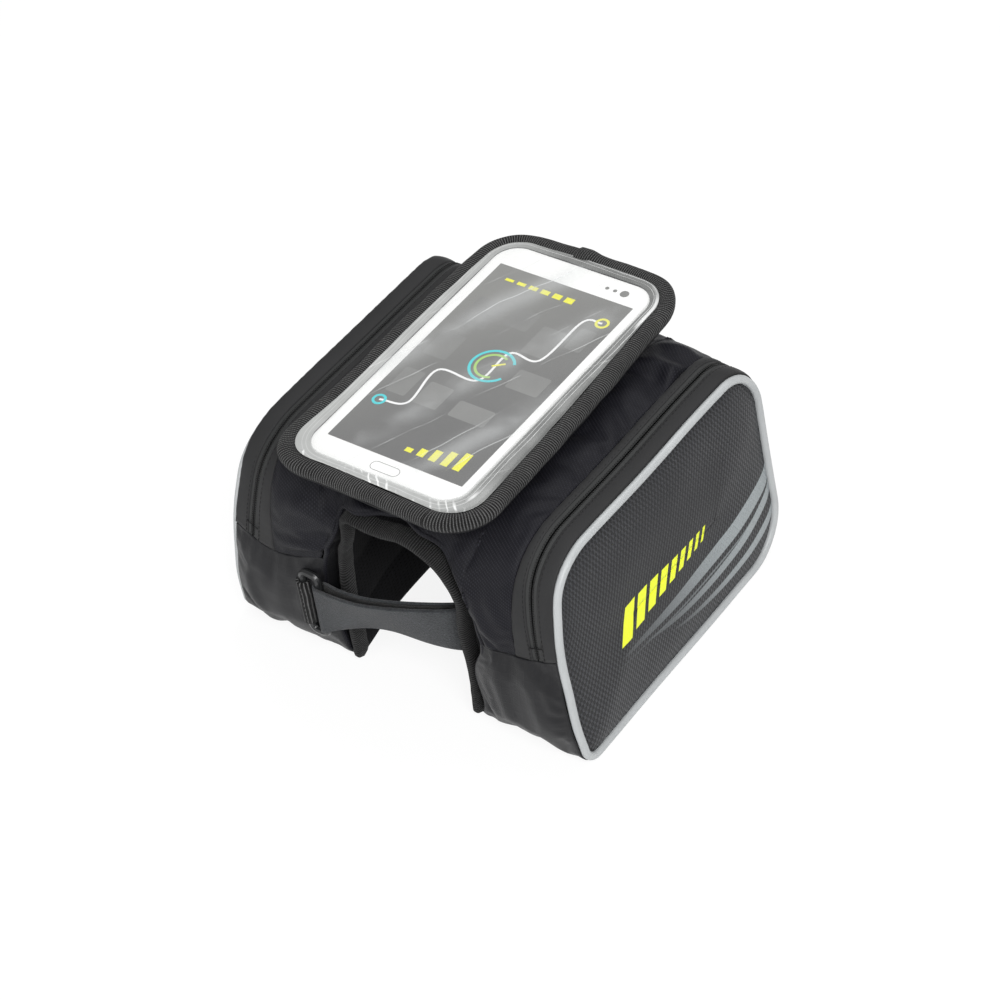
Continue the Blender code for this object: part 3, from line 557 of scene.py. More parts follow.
class Nodes:
    """A material's node tree. Its methods take numbers or sockets and return sockets. colour and roughness
    are the shader's plain values, before anything is linked to them."""

    def __init__(self, name, colour=(0.05, 0.05, 0.05), roughness=0.6, metallic=0.0):
        self.material = bpy.data.materials.new(name)
        self.material.use_nodes = True
        self.tree = self.material.node_tree
        self.shader = self.tree.nodes["Principled BSDF"]
        self.shader.inputs["Base Color"].default_value = (*colour, 1)
        self.shader.inputs["Roughness"].default_value = roughness
        self.shader.inputs["Metallic"].default_value = metallic
        self.places = {}

    def put(self, socket, value):
        """Links a socket to another one, or gives it a value."""
        if isinstance(value, bpy.types.NodeSocket):
            self.tree.links.new(value, socket)
        elif isinstance(value, (tuple, list)) and socket.type == "RGBA" and len(value) == 3:
            socket.default_value = (*value, 1)
        else:
            socket.default_value = value

    def add(self, kind, **inputs):
        """A new node. The inputs' names have _ in place of spaces."""
        node = self.tree.nodes.new(kind)
        for name, value in inputs.items():
            self.put(node.inputs[name.replace("_", " ")], value)
        return node

    def set(self, **inputs):
        """Sets or links inputs of the shader, named as in add."""
        for name, value in inputs.items():
            self.put(self.shader.inputs[name.replace("_", " ")], value)

    def shade(self, dark, light, share):
        """Base colour between two colours."""
        self.set(Base_Color=self.mix(share, dark, light))

    def cloth(self):
        """The place on the flat cloth, in metres: across and along."""
        if "cloth" not in self.places:
            source = self.tree.nodes.new("ShaderNodeUVMap")
            source.uv_map = "cloth"
            split = self.add("ShaderNodeSeparateXYZ", Vector=source.outputs["UV"])
            self.places["cloth"] = (split.outputs["X"], split.outputs["Y"])
        return self.places["cloth"]

    def place(self):
        """The place in space at rest."""
        if "place" not in self.places:
            self.places["place"] = self.tree.nodes.new("ShaderNodeTexCoord").outputs["Object"]
        return self.places["place"]

    def math(self, operation, a, b=0.0, c=0.0, clamp=False):
        node = self.tree.nodes.new("ShaderNodeMath")
        node.operation = operation
        node.use_clamp = clamp
        for socket, value in zip(node.inputs, (a, b, c)):
            self.put(socket, value)
        return node.outputs[0]

    def times(self, a, b):
        return self.math("MULTIPLY", a, b)

    def plus(self, a, b, clamp=False):
        return self.math("ADD", a, b, clamp=clamp)

    def minus(self, a, b):
        return self.math("SUBTRACT", a, b)

    def larger(self, a, b):
        return self.math("MAXIMUM", a, b)

    def linear(self, value, factor, offset, clamp=False):
        """A value times a factor, plus an offset."""
        return self.math("MULTIPLY_ADD", value, factor, offset, clamp)

    def wave(self, along, pitch, phase=0.0):
        """A sine along a distance, from 0 to 1."""
        turn = self.math("MULTIPLY_ADD", along, 2 * math.pi / pitch, phase)
        return self.math("MULTIPLY_ADD", self.math("SINE", turn), 0.5, 0.5)

    def band(self, value, low, high):
        """Rises smoothly from 0 to 1 between two values."""
        node = self.add("ShaderNodeMapRange", Value=value)
        node.interpolation_type = "SMOOTHSTEP"
        self.put(node.inputs["From Min"], low)
        self.put(node.inputs["From Max"], high)
        return node.outputs["Result"]

    def noise(self, size, detail=2.0, roughness=0.5):
        """A cloudy pattern in space, from 0 to 1, with spots of about a size."""
        node = self.add("ShaderNodeTexNoise", Vector=self.place())
        node.inputs["Scale"].default_value = 1 / size
        node.inputs["Detail"].default_value = detail
        node.inputs["Roughness"].default_value = roughness
        return node.outputs["Fac"]

    def mix(self, share, a, b):
        """A colour between two."""
        node = self.tree.nodes.new("ShaderNodeMix")
        node.data_type = "RGBA"
        self.put(node.inputs[0], share)
        for socket, value in ((node.inputs[6], a), (node.inputs[7], b)):
            self.put(socket, value)
        return node.outputs[2]

    def bump(self, height, distance, strength=1.0, below=None):
        """A normal for a relief of some height, on top of another relief's."""
        node = self.add("ShaderNodeBump", Height=height)
        node.inputs["Distance"].default_value = distance
        node.inputs["Strength"].default_value = strength
        if below is not None:
            self.put(node.inputs["Normal"], below)
        return node.outputs["Normal"]

    def weave(self, pitch):
        """Height of a plain weave, 0 to 1."""
        across, along = self.cloth()
        warp = self.wave(across, pitch)
        weft = self.wave(along, pitch, math.pi / 2)
        over = self.times(warp, weft)
        under = self.times(self.minus(1.0, warp), self.minus(1.0, weft))
        return self.larger(over, under)


def make_coated():
    """Smooth, matte coated cloth beside the zips."""
    nodes = Nodes("coated_cloth")
    grain = nodes.weave(0.6 * mm)
    tone = nodes.noise(32 * mm, 4)
    nodes.shade((0.013, 0.013, 0.0135), (0.024, 0.024, 0.025), tone)
    fine = nodes.bump(grain, 0.04 * mm, 0.5)
    nodes.set(Normal=nodes.bump(nodes.noise(11 * mm, 2), 0.4 * mm, 0.15, fine))
    nodes.set(Roughness=nodes.linear(tone, 0.2, 0.55))
    nodes.set(Specular_IOR_Level=0.26, Sheen_Weight=0.04)
    return nodes.material


def make_ripstop():
    """Plain thin cloth with a faint raised grid."""
    nodes = Nodes("ripstop_cloth")
    across, along = nodes.cloth()
    grid = nodes.larger(nodes.wave(across, 4.2 * mm), nodes.wave(along, 4.2 * mm))
    rib = nodes.band(grid, 0.93, 1.0)
    tone = nodes.noise(28 * mm, 4)
    nodes.shade((0.004, 0.004, 0.0048), (0.011, 0.011, 0.013), tone)
    weave = nodes.bump(nodes.weave(0.5 * mm), 0.06 * mm, 0.7)
    raised = nodes.bump(rib, 0.05 * mm, 0.5, weave)
    nodes.set(Normal=nodes.bump(nodes.noise(5 * mm, 3), 0.35 * mm, 0.3, raised))
    nodes.set(Roughness=nodes.linear(tone, 0.14, 0.38))
    nodes.set(Specular_IOR_Level=0.28, Sheen_Weight=0.05, Sheen_Roughness=0.4)
    return nodes.material


def make_dobby():
    """Saddle cloth, woven with small raised dashes in staggered columns."""
    nodes = Nodes("dobby_cloth")
    across, along = nodes.cloth()
    column = nodes.wave(across, 0.7 * mm)
    number = nodes.math("FLOOR", nodes.math("DIVIDE", across, 0.7 * mm))
    stagger = nodes.times(number, math.pi * 0.62)
    turn = nodes.linear(along, 2 * math.pi / (1.5 * mm), stagger)
    dash = nodes.band(nodes.math("SINE", turn), -0.2, 0.5)
    pattern = nodes.times(nodes.band(column, 0.25, 0.75), dash)
    tone = nodes.noise(30 * mm, 4)
    base = nodes.mix(tone, (0.003, 0.003, 0.0045), (0.010, 0.010, 0.014))
    patchy = nodes.linear(nodes.noise(2.2 * mm, 2), 0.9, 0.15)
    nodes.set(Base_Color=nodes.mix(nodes.times(pattern, patchy), base, (0.026, 0.026, 0.033)))
    weave = nodes.bump(nodes.weave(0.45 * mm), 0.05 * mm, 0.6)
    raised = nodes.bump(pattern, 0.10 * mm, 0.8, weave)
    nodes.set(Normal=nodes.bump(nodes.noise(6 * mm, 3), 0.3 * mm, 0.25, raised))
    nodes.set(Roughness=nodes.linear(tone, 0.12, 0.44))
    nodes.set(Specular_IOR_Level=0.15, Sheen_Weight=0.03, Sheen_Roughness=0.35)
    return nodes.material


def make_webbing(name, rib_pitch, light=(0.20, 0.20, 0.20), depth=0.45 * mm):
    """Ribbed binding tape: ribs across, each a twisted cord, with its crests painted light and its grooves
    painted dark.
    """
    nodes = Nodes(name, roughness=0.75)
    across, along = nodes.cloth()
    uneven = nodes.times(nodes.noise(7 * mm, 2), 0.9 * mm)
    rib = nodes.wave(nodes.plus(along, uneven), rib_pitch)
    worn = nodes.band(nodes.noise(9 * mm, 4, 0.65), 0.55, 0.8)
    twist_turn = nodes.plus(
        nodes.times(across, 2 * math.pi / (0.8 * mm)), nodes.times(along, 2 * math.pi / (1.6 * mm))
    )
    twist = nodes.linear(nodes.math("SINE", twist_turn), 0.5, 0.5)
    height = nodes.linear(twist, 0.45, nodes.band(rib, 0.05, 0.85))
    tone = nodes.noise(18 * mm, 3)
    # Painted highlight and shade: the crests of the ribs and the strands of their twist are coloured
    # lighter, as lit, and the grooves nearly black, as shaded
    strand = nodes.linear(twist, 0.6, 0.4)
    share = nodes.times(nodes.band(rib, 0.5, 1.0), nodes.linear(tone, 0.5, 0.40))
    share = nodes.times(share, strand)
    share = nodes.linear(worn, 0.06, share, clamp=True)
    nodes.shade((0.002, 0.002, 0.002), light, share)
    nodes.set(Normal=nodes.bump(height, depth, 1.0))
    nodes.set(Specular_IOR_Level=0.2, Sheen_Weight=0.06)
    return nodes.material


def make_fleece(name, dark, light):
    """Brushed cloth: a short, slightly matted pile."""
    nodes = Nodes(name, roughness=0.9)
    fibre = nodes.band(nodes.noise(0.8 * mm, 4, 0.7), 0.3, 0.7)
    patch = nodes.noise(11 * mm, 4, 0.6)
    fuzz = nodes.linear(fibre, 0.55, nodes.times(patch, 0.6))
    lint = nodes.band(nodes.noise(0.9 * mm, 1), 0.735, 0.76)
    worn = nodes.mix(fuzz, dark, light)
    bright = [min(1, 3.5 * c) for c in light]
    nodes.set(Base_Color=nodes.mix(nodes.times(lint, 0.5), worn, bright))
    rough = nodes.bump(fibre, 0.25 * mm, 0.7)
    nodes.set(Normal=nodes.bump(patch, 0.5 * mm, 0.3, rough))
    nodes.set(Specular_IOR_Level=0.12, Sheen_Weight=0.16, Sheen_Roughness=0.5)
    return nodes.material


def make_reflective():
    """Light grey reflective piping: a fine grain of glass beads, a little rubbed."""
    nodes = Nodes("reflective_cloth", roughness=0.42)
    grain = nodes.noise(0.6 * mm, 3, 0.6)
    rub = nodes.noise(22 * mm, 4, 0.6)
    share = nodes.linear(grain, 0.35, nodes.times(rub, 0.7))
    nodes.shade((0.30, 0.315, 0.32), (0.49, 0.505, 0.51), share)
    nodes.set(Normal=nodes.bump(grain, 0.05 * mm, 0.5))
    return nodes.material


def make_mesh_pad():
    """Spacer mesh: small round cells in rows."""
    nodes = Nodes("spacer_mesh", roughness=0.9)
    across, along = nodes.cloth()
    cells = nodes.times(nodes.wave(across, 2.6 * mm), nodes.wave(along, 1.8 * mm))
    # Painted shade: the cells' holes are coloured darker than the threads, and the whole pad is made darker
    # still as shade inside the tunnel
    hole = nodes.band(cells, 0.45, 0.75)
    nodes.shade((0.009, 0.009, 0.010), (0.002, 0.002, 0.002), hole)
    thread = nodes.bump(nodes.noise(0.7 * mm, 2), 0.15 * mm, 0.5)
    nodes.set(Normal=nodes.bump(nodes.minus(1.0, hole), 0.5 * mm, 0.8, thread))
    nodes.set(Specular_IOR_Level=0.08)
    return nodes.material


def make_tape():
    """Zip tape: a fine herringbone."""
    nodes = Nodes("zip_tape", roughness=0.7)
    across, along = nodes.cloth()
    slant = nodes.plus(along, nodes.math("ABSOLUTE", across))
    rib = nodes.wave(slant, 0.7 * mm)
    nodes.shade((0.014, 0.015, 0.015), (0.026, 0.027, 0.027), rib)
    nodes.set(Normal=nodes.bump(rib, 0.05 * mm, 0.6))
    return nodes.material


def make_plain(name, dark, light, roughness, grain=0.8 * mm, depth=0.05 * mm, metallic=0.0, gloss=0.5):
    """A moulded or painted surface with a slight grain and an uneven tone."""
    nodes = Nodes(name, roughness=roughness, metallic=metallic)
    nodes.set(Specular_IOR_Level=gloss)
    nodes.shade(dark, light, nodes.noise(12 * mm, 4))
    nodes.set(Normal=nodes.bump(nodes.noise(grain, 3), depth, 0.5))
    return nodes.material


# Generic slanted bars on the side panels, in millimetres: start, width, lowest and highest
panel_bars = (
    (-40, 7.2, 41.5, 57.5), (-30, 6.4, 43.0, 56.8), (-21, 5.6, 44.2, 56.2), (-12.8, 4.9, 45.2, 55.7),
    (-5.3, 4.2, 46.0, 55.3), (1.5, 3.6, 46.7, 55.0), (7.7, 3.0, 47.3, 54.8), (13.3, 2.4, 47.8, 54.6),
    (18.3, 1.8, 48.2, 54.4),
)


def make_panel():
    """Side panel: laminated cloth embossed with small beads in staggered rows, with slanted stripes and bars
    printed on it. The cloth map is Y and Z on the panel."""
    nodes = Nodes("embossed_panel", roughness=0.5)
    y, z = nodes.cloth()
    bead_pitch = 2.15 * mm
    rows = bead_pitch * math.sqrt(3)
    first = nodes.math("COSINE", nodes.times(y, 2 * math.pi / bead_pitch))
    second = nodes.math("COSINE", nodes.times(z, 2 * math.pi / rows))
    bead = nodes.band(nodes.times(first, second), -0.35, 0.55)

    # The beads are pressed flatter in the middle of the panel
    from_y = nodes.math("DIVIDE", nodes.plus(y, 6 * mm), 62 * mm)
    from_z = nodes.math("DIVIDE", nodes.minus(z, 64 * mm), 40 * mm)
    from_middle = nodes.plus(nodes.times(from_y, from_y), nodes.times(from_z, from_z))
    worn = nodes.linear(nodes.noise(24 * mm, 3), 0.9, from_middle)
    strength = nodes.linear(nodes.band(worn, 0.55, 1.45), 0.62, 0.38)
    bead = nodes.times(bead, strength)

    # Painted shade and highlight: the valleys between the beads are coloured darker, as shaded, and the bead
    # tops lighter, as lit, over a random tone
    tone = nodes.noise(40 * mm, 3)
    valley = nodes.mix(tone, (0.0065, 0.0068, 0.008), (0.011, 0.0114, 0.013))
    top = nodes.mix(tone, (0.021, 0.022, 0.026), (0.038, 0.0395, 0.045))
    colour = nodes.mix(bead, valley, top)

    def curve(left, right, low, high, sag):
        """Height of a sagging line from (left, low) to (right, high), in millimetres, at the place's Y."""
        share = nodes.math("DIVIDE", nodes.minus(y, left * mm), (right - left) * mm)
        straight = nodes.linear(share, (high - low) * mm, low * mm)
        bow = nodes.times(share, nodes.minus(1.0, share))
        return nodes.linear(bow, 4 * sag * mm, straight)

    def between(value, low, high):
        """1 between two values, with soft edges, and 0 beyond them."""
        soft = 0.15 * mm
        above = nodes.band(nodes.minus(value, low), -soft, soft)
        below = nodes.band(nodes.minus(high, value), -soft, soft)
        return nodes.times(above, below)

    # Stripes: ends in Y, then height at both ends and sag of the lower and of the upper edge, and strength
    stripes = (
        (-47, 72, (36.6, 37.5, -5.8), (37.3, 45.5, -3.6), 1.0),
        (-32, 72, (32.3, 31.0, -9.0), (33.0, 36.2, -8.0), 1.0),
        (-12, 72, (22.4, 19.5, -7.2), (23.1, 24.8, -6.5), 1.0),
        (-52, 12, (34.2, 27.6, -1.6), (34.7, 28.6, -1.5), 0.55),
    )
    for left, right, low, high, strength in stripes:
        fade = nodes.band(y, (left - 8) * mm, 50 * mm)
        stripe_colour = nodes.mix(fade, (0.036, 0.039, 0.042), (0.31, 0.34, 0.352))
        mask = between(z, curve(left, right, *low), curve(left, right, *high))
        start = nodes.band(y, (left - 1) * mm, (left + 8) * mm)
        mask = nodes.times(nodes.times(mask, start), strength)
        colour = nodes.mix(mask, colour, stripe_colour)

    # Slanted bars
    slant = nodes.linear(z, -0.5, y)
    marks = 0.0
    for start, width, low, high in panel_bars:
        inside = between(slant, (start - 25) * mm, (start + width - 25) * mm)
        upright = between(z, low * mm, high * mm)
        marks = nodes.larger(marks, nodes.times(inside, upright))
    colour = nodes.mix(marks, colour, (0.78, 0.86, 0.02))
    nodes.set(Base_Color=colour)
    flatter = nodes.minus(1.0, nodes.times(marks, 0.6))
    beads = nodes.bump(nodes.times(bead, flatter), 0.55 * mm, 0.9)
    nodes.set(Normal=nodes.bump(nodes.noise(14 * mm, 2), 0.6 * mm, 0.25, beads))
    nodes.set(Roughness=nodes.linear(bead, -0.12, 0.52))
    nodes.set(Specular_IOR_Level=0.42)
    return nodes.material


def make_film():
    """Clear window film: nearly invisible over the card, milky in its margin, with painted pale glare along
    its creases that stands in for reflected light."""
    nodes = Nodes("clear_film", colour=(0.84, 0.86, 0.86), roughness=0.16)
    x, y = nodes.cloth()

    # Painted glare: broad and thin bands of reflected light across the card, painted into the film's alpha
    across = nodes.linear(y, -0.41, nodes.times(x, 0.91))
    across = nodes.linear(nodes.noise(48 * mm, 2), 12 * mm, across)
    patches = nodes.noise(38 * mm, 3, 0.55)
    broad = nodes.math("POWER", nodes.wave(across, 33 * mm), 3.0)
    glow = nodes.times(nodes.times(broad, nodes.band(patches, 0.38, 0.66)), 0.14)
    thin = nodes.band(nodes.wave(across, 15 * mm), 0.994, 1.0)
    thin = nodes.times(nodes.times(thin, nodes.band(patches, 0.46, 0.66)), 0.22)

    # Distance from a rectangle within the card, which tells the margin from the middle
    beside = nodes.minus(nodes.math("ABSOLUTE", nodes.plus(x, 1.5 * mm)), 28 * mm)
    beyond = nodes.minus(nodes.math("ABSOLUTE", nodes.minus(y, 0.75 * mm)), 62 * mm)
    beside = nodes.larger(beside, 0.0)
    beyond = nodes.larger(beyond, 0.0)
    apart = nodes.math("SQRT", nodes.plus(nodes.times(beside, beside), nodes.times(beyond, beyond)))
    margin = nodes.band(apart, 10.6 * mm, 11.4 * mm)

    # Painted highlights: glints at the rear end and a line of shine down the right side, which crumple holds
    drawn = nodes.noise(11 * mm, 3, 0.5)
    near_end = nodes.band(y, -68 * mm, -73 * mm)
    right_side = nodes.band(x, 30 * mm, 39 * mm)
    slanted = nodes.linear(drawn, 6 * mm, nodes.linear(y, 0.8, x))
    ridges = nodes.band(nodes.wave(slanted, 4.3 * mm), 0.72, 1.0)
    glints = nodes.times(ridges, nodes.band(drawn, 0.46, 0.6))
    glints = nodes.times(nodes.times(glints, near_end), 0.5)
    length_wise = nodes.band(nodes.noise(26 * mm, 2, 0.5), 0.5, 0.62)
    shine = nodes.band(nodes.math("ABSOLUTE", nodes.minus(apart, 14.6 * mm)), 1.1 * mm, 0.2 * mm)
    shine = nodes.times(nodes.times(shine, length_wise), right_side)
    crumple = nodes.larger(glints, nodes.times(shine, 0.6))

    # The margin's milkiness, stronger to the left, with the painted glints and shine added to it
    toward = nodes.band(nodes.linear(y, 0.45, x), 34 * mm, -26 * mm)
    cloudy = nodes.linear(toward, 0.42, nodes.linear(drawn, 0.20, 0.04))
    milk_and_painted_glints = nodes.times(margin, nodes.plus(crumple, cloudy))

    # Two fine pale lines along the margin
    bent = nodes.linear(nodes.noise(34 * mm, 2), 1.8 * mm, -0.9 * mm)
    lines = 0.0
    for at in (13.3 * mm, 15.0 * mm):
        gap = nodes.math("ABSOLUTE", nodes.minus(nodes.plus(apart, bent), at))
        lines = nodes.larger(lines, nodes.band(gap, 0.17 * mm, 0.05 * mm))
    lines = nodes.times(nodes.times(lines, margin), 0.6)

    alpha = nodes.plus(nodes.plus(glow, thin), nodes.plus(milk_and_painted_glints, 0.05), clamp=True)
    nodes.set(Alpha=nodes.larger(alpha, lines))
    # The painted glints and shine also make the margin's colour paler
    grey = nodes.mix(crumple, (0.56, 0.57, 0.56), (0.92, 0.92, 0.92))
    grey = nodes.mix(lines, grey, (0.9, 0.9, 0.9))
    nodes.set(Base_Color=nodes.mix(margin, (0.84, 0.86, 0.86), grey))
    rubbed = nodes.larger(crumple, nodes.band(apart, 11 * mm, 13 * mm))
    nodes.set(Roughness=nodes.linear(rubbed, 0.30, 0.14))
    nodes.set(Specular_IOR_Level=0.6)
    return nodes.material


def make_screen():
    """The pictured screen: a dull grey that lightens towards one corner."""
    nodes = Nodes("card_screen", roughness=0.45)
    x, y = nodes.cloth()
    fade = nodes.band(nodes.minus(y, x), -60 * mm, 90 * mm)
    cloud = nodes.noise(45 * mm, 2)
    share = nodes.linear(cloud, 0.35, nodes.times(fade, 0.65), clamp=True)
    nodes.shade((0.070, 0.068, 0.069), (0.215, 0.215, 0.203), share)
    return nodes.material


coated = make_coated()
ripstop = make_ripstop()
dobby = make_dobby()
webbing = make_webbing("binding_webbing", 1.1 * mm)
# A darker copy of the binding tape: painted shade for the inside of the tunnel's mouth
shaded_tunnel_webbing = make_webbing("shaded_tunnel_webbing", 1.2 * mm, light=(0.085, 0.085, 0.086))
tab_webbing = make_webbing("tab_webbing", 1.5 * mm, depth=0.3 * mm)
spacer_mesh = make_mesh_pad()
strap_grey = make_fleece("strap_fleece", (0.010, 0.011, 0.0125), (0.056, 0.060, 0.065))
strap_black = make_fleece("strap_hook_side", (0.004, 0.004, 0.004), (0.012, 0.012, 0.012))
patch_pile = make_fleece("patch_pile", (0.010, 0.010, 0.011), (0.030, 0.030, 0.031))
reflective = make_reflective()
zip_tape = make_tape()
zip_teeth = make_plain("zip_teeth", (0.006, 0.006, 0.006), (0.012, 0.012, 0.012), 0.4, gloss=0.3)
thread = make_plain("thread", (0.006, 0.006, 0.006), (0.014, 0.014, 0.015), 0.7, grain=0.3 * mm, gloss=0.2)
panel_cloth = make_panel()
lining = make_plain(
    "lining_cloth", (0.006, 0.006, 0.006), (0.011, 0.011, 0.012), 0.8, grain=0.5 * mm, gloss=0.1
)
pouch_fabric = make_plain(
    "pouch_cloth", (0.008, 0.008, 0.009), (0.016, 0.016, 0.017), 0.7, grain=0.5 * mm, gloss=0.2
)
foam = make_plain("foam", (0.030, 0.030, 0.031), (0.050, 0.050, 0.051), 0.95, grain=0.6 * mm, depth=0.2 * mm)
card_white = make_plain("card_white", (0.80, 0.80, 0.79), (0.86, 0.86, 0.85), 0.45, 2 * mm, 0.02 * mm)
screen_grey = make_screen()
print_white = make_plain("print_white", (0.78, 0.78, 0.78), (0.84, 0.84, 0.84), 0.5)
print_yellow = make_plain("print_yellow", (0.74, 0.72, 0.02), (0.80, 0.78, 0.03), 0.5)
print_cyan = make_plain("print_cyan", (0.03, 0.52, 0.56), (0.05, 0.60, 0.64), 0.5)
print_green = make_plain("print_green", (0.30, 0.52, 0.10), (0.36, 0.58, 0.14), 0.5)
print_pale = make_plain("print_pale", (0.15, 0.15, 0.146), (0.20, 0.20, 0.193), 0.5)
ring_plastic = make_plain("ring_plastic", (0.012, 0.0125, 0.013), (0.026, 0.027, 0.028), 0.3)
slider_paint = make_plain("slider_paint", (0.020, 0.020, 0.020), (0.040, 0.040, 0.040), 0.35, metallic=0.6)
film = make_film()


# Side bags

path_steps = 150


def plane_column(side, depth):
    """Points along the upper gusset, at a distance inwards from the outer panel's plane."""
    top = body_height + seam_rise * min(1.0, depth / upper_gusset_width)
    seam = rear_seam(outer_x(rear_seam_outer) - depth)
    path = resampled(upper_path(top, rear_top_round, front_top_round, seam), path_steps)
    return in_space(side * (outer_x(path[:, 1]) - depth), path)


def saddle_path(across, top):
    """Points in Y and Z over the saddle, at a distance from the middle."""
    return upper_path(
        top, corner_round(across, rear_top_round), corner_round(across, front_top_round), rear_seam(across)
    )


def seam_column(side, across, top):
    """Points along the saddle, at a distance from the middle."""
    path = resampled(saddle_path(across, top), path_steps)
    return in_space(side * across, path)


def outward_of(points, inside):
    """Unit normals of a grid, turned away from a point."""
    along = np.gradient(points, axis=0)
    across = np.gradient(points, axis=1)
    normal = np.cross(along, across)
    normal /= np.maximum(np.linalg.norm(normal, axis=2, keepdims=True), 1e-12)
    if (normal * (points - np.array(inside))).sum() < 0:
        normal = -normal
    return normal


def puckered(points, inside, edge, amount, seed):
    """Small gathers along one sewn edge of a grid: its first column (low) or its last one (high)."""
    pitch, reach = 6.5 * mm, 3.5 * mm
    across = np.zeros(points.shape[:2])
    across[:, 1:] = np.cumsum(np.linalg.norm(np.diff(points, axis=1), axis=2), axis=1)
    away = across if edge == "low" else across[:, -1:] - across
    along = path_lengths(points[:, points.shape[1] // 2])[:, None]
    wobble = np.sin(along * 2 * math.pi / pitch + 2.0 * np.sin(along * 2 * math.pi / (pitch * 4.3) + seed))
    return points + outward_of(points, inside) * (np.exp(-away / reach) * wobble * amount)[..., None]


def strip(side, first, last, count):
    """A grid between two depths of the upper gusset."""
    columns = [plane_column(side, depth) for depth in np.linspace(first, last, count)]
    return np.stack(columns, axis=1)


def domed(points, inside, height):
    """A strip bowed outwards between its two edges, and flat at its two ends."""
    share = np.linspace(0, 1, points.shape[1])[None, :, None]
    along = np.linspace(0, 1, points.shape[0])[:, None, None]
    ends = smooth(0, 0.08, np.minimum(along, 1 - along))
    return points + outward_of(points, inside) * (4 * share * (1 - share) * height * ends)


def sampled(values, at):
    """Rows of values at shares of the way through them, from 0 to 1."""
    places = np.linspace(0, 1, len(values))
    return np.stack([np.interp(at, places, values[:, i]) for i in range(3)], axis=1)


# The turns round a stitch or a tooth
bead_turns = turns_round(6)


def add_stitches(name, path, normals, pitch, length, radius, slot):
    """A row of thread stitches along a path, each a short rounded bead a little sunk in the cloth."""
    steps = int(path_lengths(path)[-1] / pitch) * 2 + 1
    centres = resampled(path, steps)[1::2]
    facing = sampled(normals, np.linspace(0, 1, steps)[1::2])
    verts, faces = [], []
    for centre, direction, up in zip(centres, headings(centres), facing):
        side_way = np.cross(direction, up)
        side_way /= max(np.linalg.norm(side_way), 1e-9)
        up = np.cross(side_way, direction)
        rings = []
        for share, width in ((-0.5, 0.25), (-0.38, 0.85), (0.0, 1.0), (0.38, 0.85), (0.5, 0.25)):
            drop = radius * 0.7 - radius * 0.9 * (2 * share) ** 2
            middle = centre + direction * share * length + up * drop
            rings.append([
                middle + (side_way * math.cos(turn) + up * math.sin(turn)) * radius * width
                for turn in bead_turns
            ])
        loft(verts, faces, rings)
    mesh = listed_mesh(name, verts, faces)
    mesh.shade_smooth()
    add_piece(name, mesh, thread, slot)


def add_tube(name, path, radius, material, slot, replaces=(), closed=True, up=(1, 0, 0)):
    """A tube along a path, with its cloth map running round and along it."""
    ring = 14
    ahead = headings(path, closed)
    side_way = np.cross(ahead, np.array(up, float))
    side_way /= np.linalg.norm(side_way, axis=1, keepdims=True)
    over = np.cross(side_way, ahead)
    turns = turns_round(ring)
    radii = np.broadcast_to(np.asarray(radius, float), (len(path),))[:, None, None]
    points = (path[:, None] + (side_way[:, None] * np.cos(turns)[None, :, None]
                               + over[:, None] * np.sin(turns)[None, :, None]) * radii)
    if closed:
        points = np.concatenate((points, points[:1]), axis=0)
    lengths = path_lengths(np.vstack((path, path[:1])) if closed else path)
    cloth = flat_map(np.linspace(0, 2 * math.pi * float(np.mean(radii)), ring + 1), lengths)
    mesh = weld(grid_mesh(name, points, cloth, wrap=True))
    faced_outwards(mesh, capped=not closed)
    mesh.shade_smooth()
    add_piece(name, mesh, material, slot, replaces)


def top_lowered(points, side):
    """The left side bag's outer top edge hangs a little lower than the right one's."""
    if side < 0:
        points[..., 2] -= 1.0 * mm * smooth(78 * mm, 96 * mm, points[..., 2])
    return points


def panel_rise(distance):
    """How far the side panel stands out of its plane at a distance from the piping."""
    roll = 1 - np.exp(-distance / (4.5 * mm))
    crown = 1 - np.exp(-distance / (22 * mm))
    return -1.8 * mm + 2.6 * mm * roll + 3.4 * mm * crown


def add_outer_panel(side, label):
    """The slightly domed side panel within its piping."""
    rings, around = 46, 260
    edge = side_outline(piping_radius * 1.2, around)
    middle_z = body_height / 2
    reach = middle_z - 4 * mm
    core_y = np.clip(edge[:, 0], edge[:, 0].min() + reach, edge[:, 0].max() - reach)
    core = np.stack((core_y, np.full(around, middle_z)), axis=1)
    shares = np.linspace(0, 1, rings) ** 1.35
    flat = edge[None] + (core - edge)[None] * shares[:, None, None]
    distance = np.linalg.norm(flat - edge[None], axis=2)
    places = np.concatenate((flat, np.zeros((rings, around, 1))), axis=2)
    unevenness = 0.35 * mm * waves(places, 38 * mm, 11 + side) * smooth(0, 18 * mm, distance)
    rise = panel_rise(distance) + unevenness
    points = top_lowered(settled(in_space(side * (outer_x(flat[..., 1]) + rise), flat)), side)
    cloth = np.concatenate((flat, flat[:, :1]), axis=1)
    mesh = weld(grid_mesh(f"{label}_panel", points, cloth, wrap=True, inside=(0, 0, middle_z)))
    piece = add_piece(f"{label}_panel", mesh, panel_cloth, "panel_fabric", [f"{label}_outer_panel"],
                      thickness=panel_thickness, inner=lining)
    declare_sheet(piece)


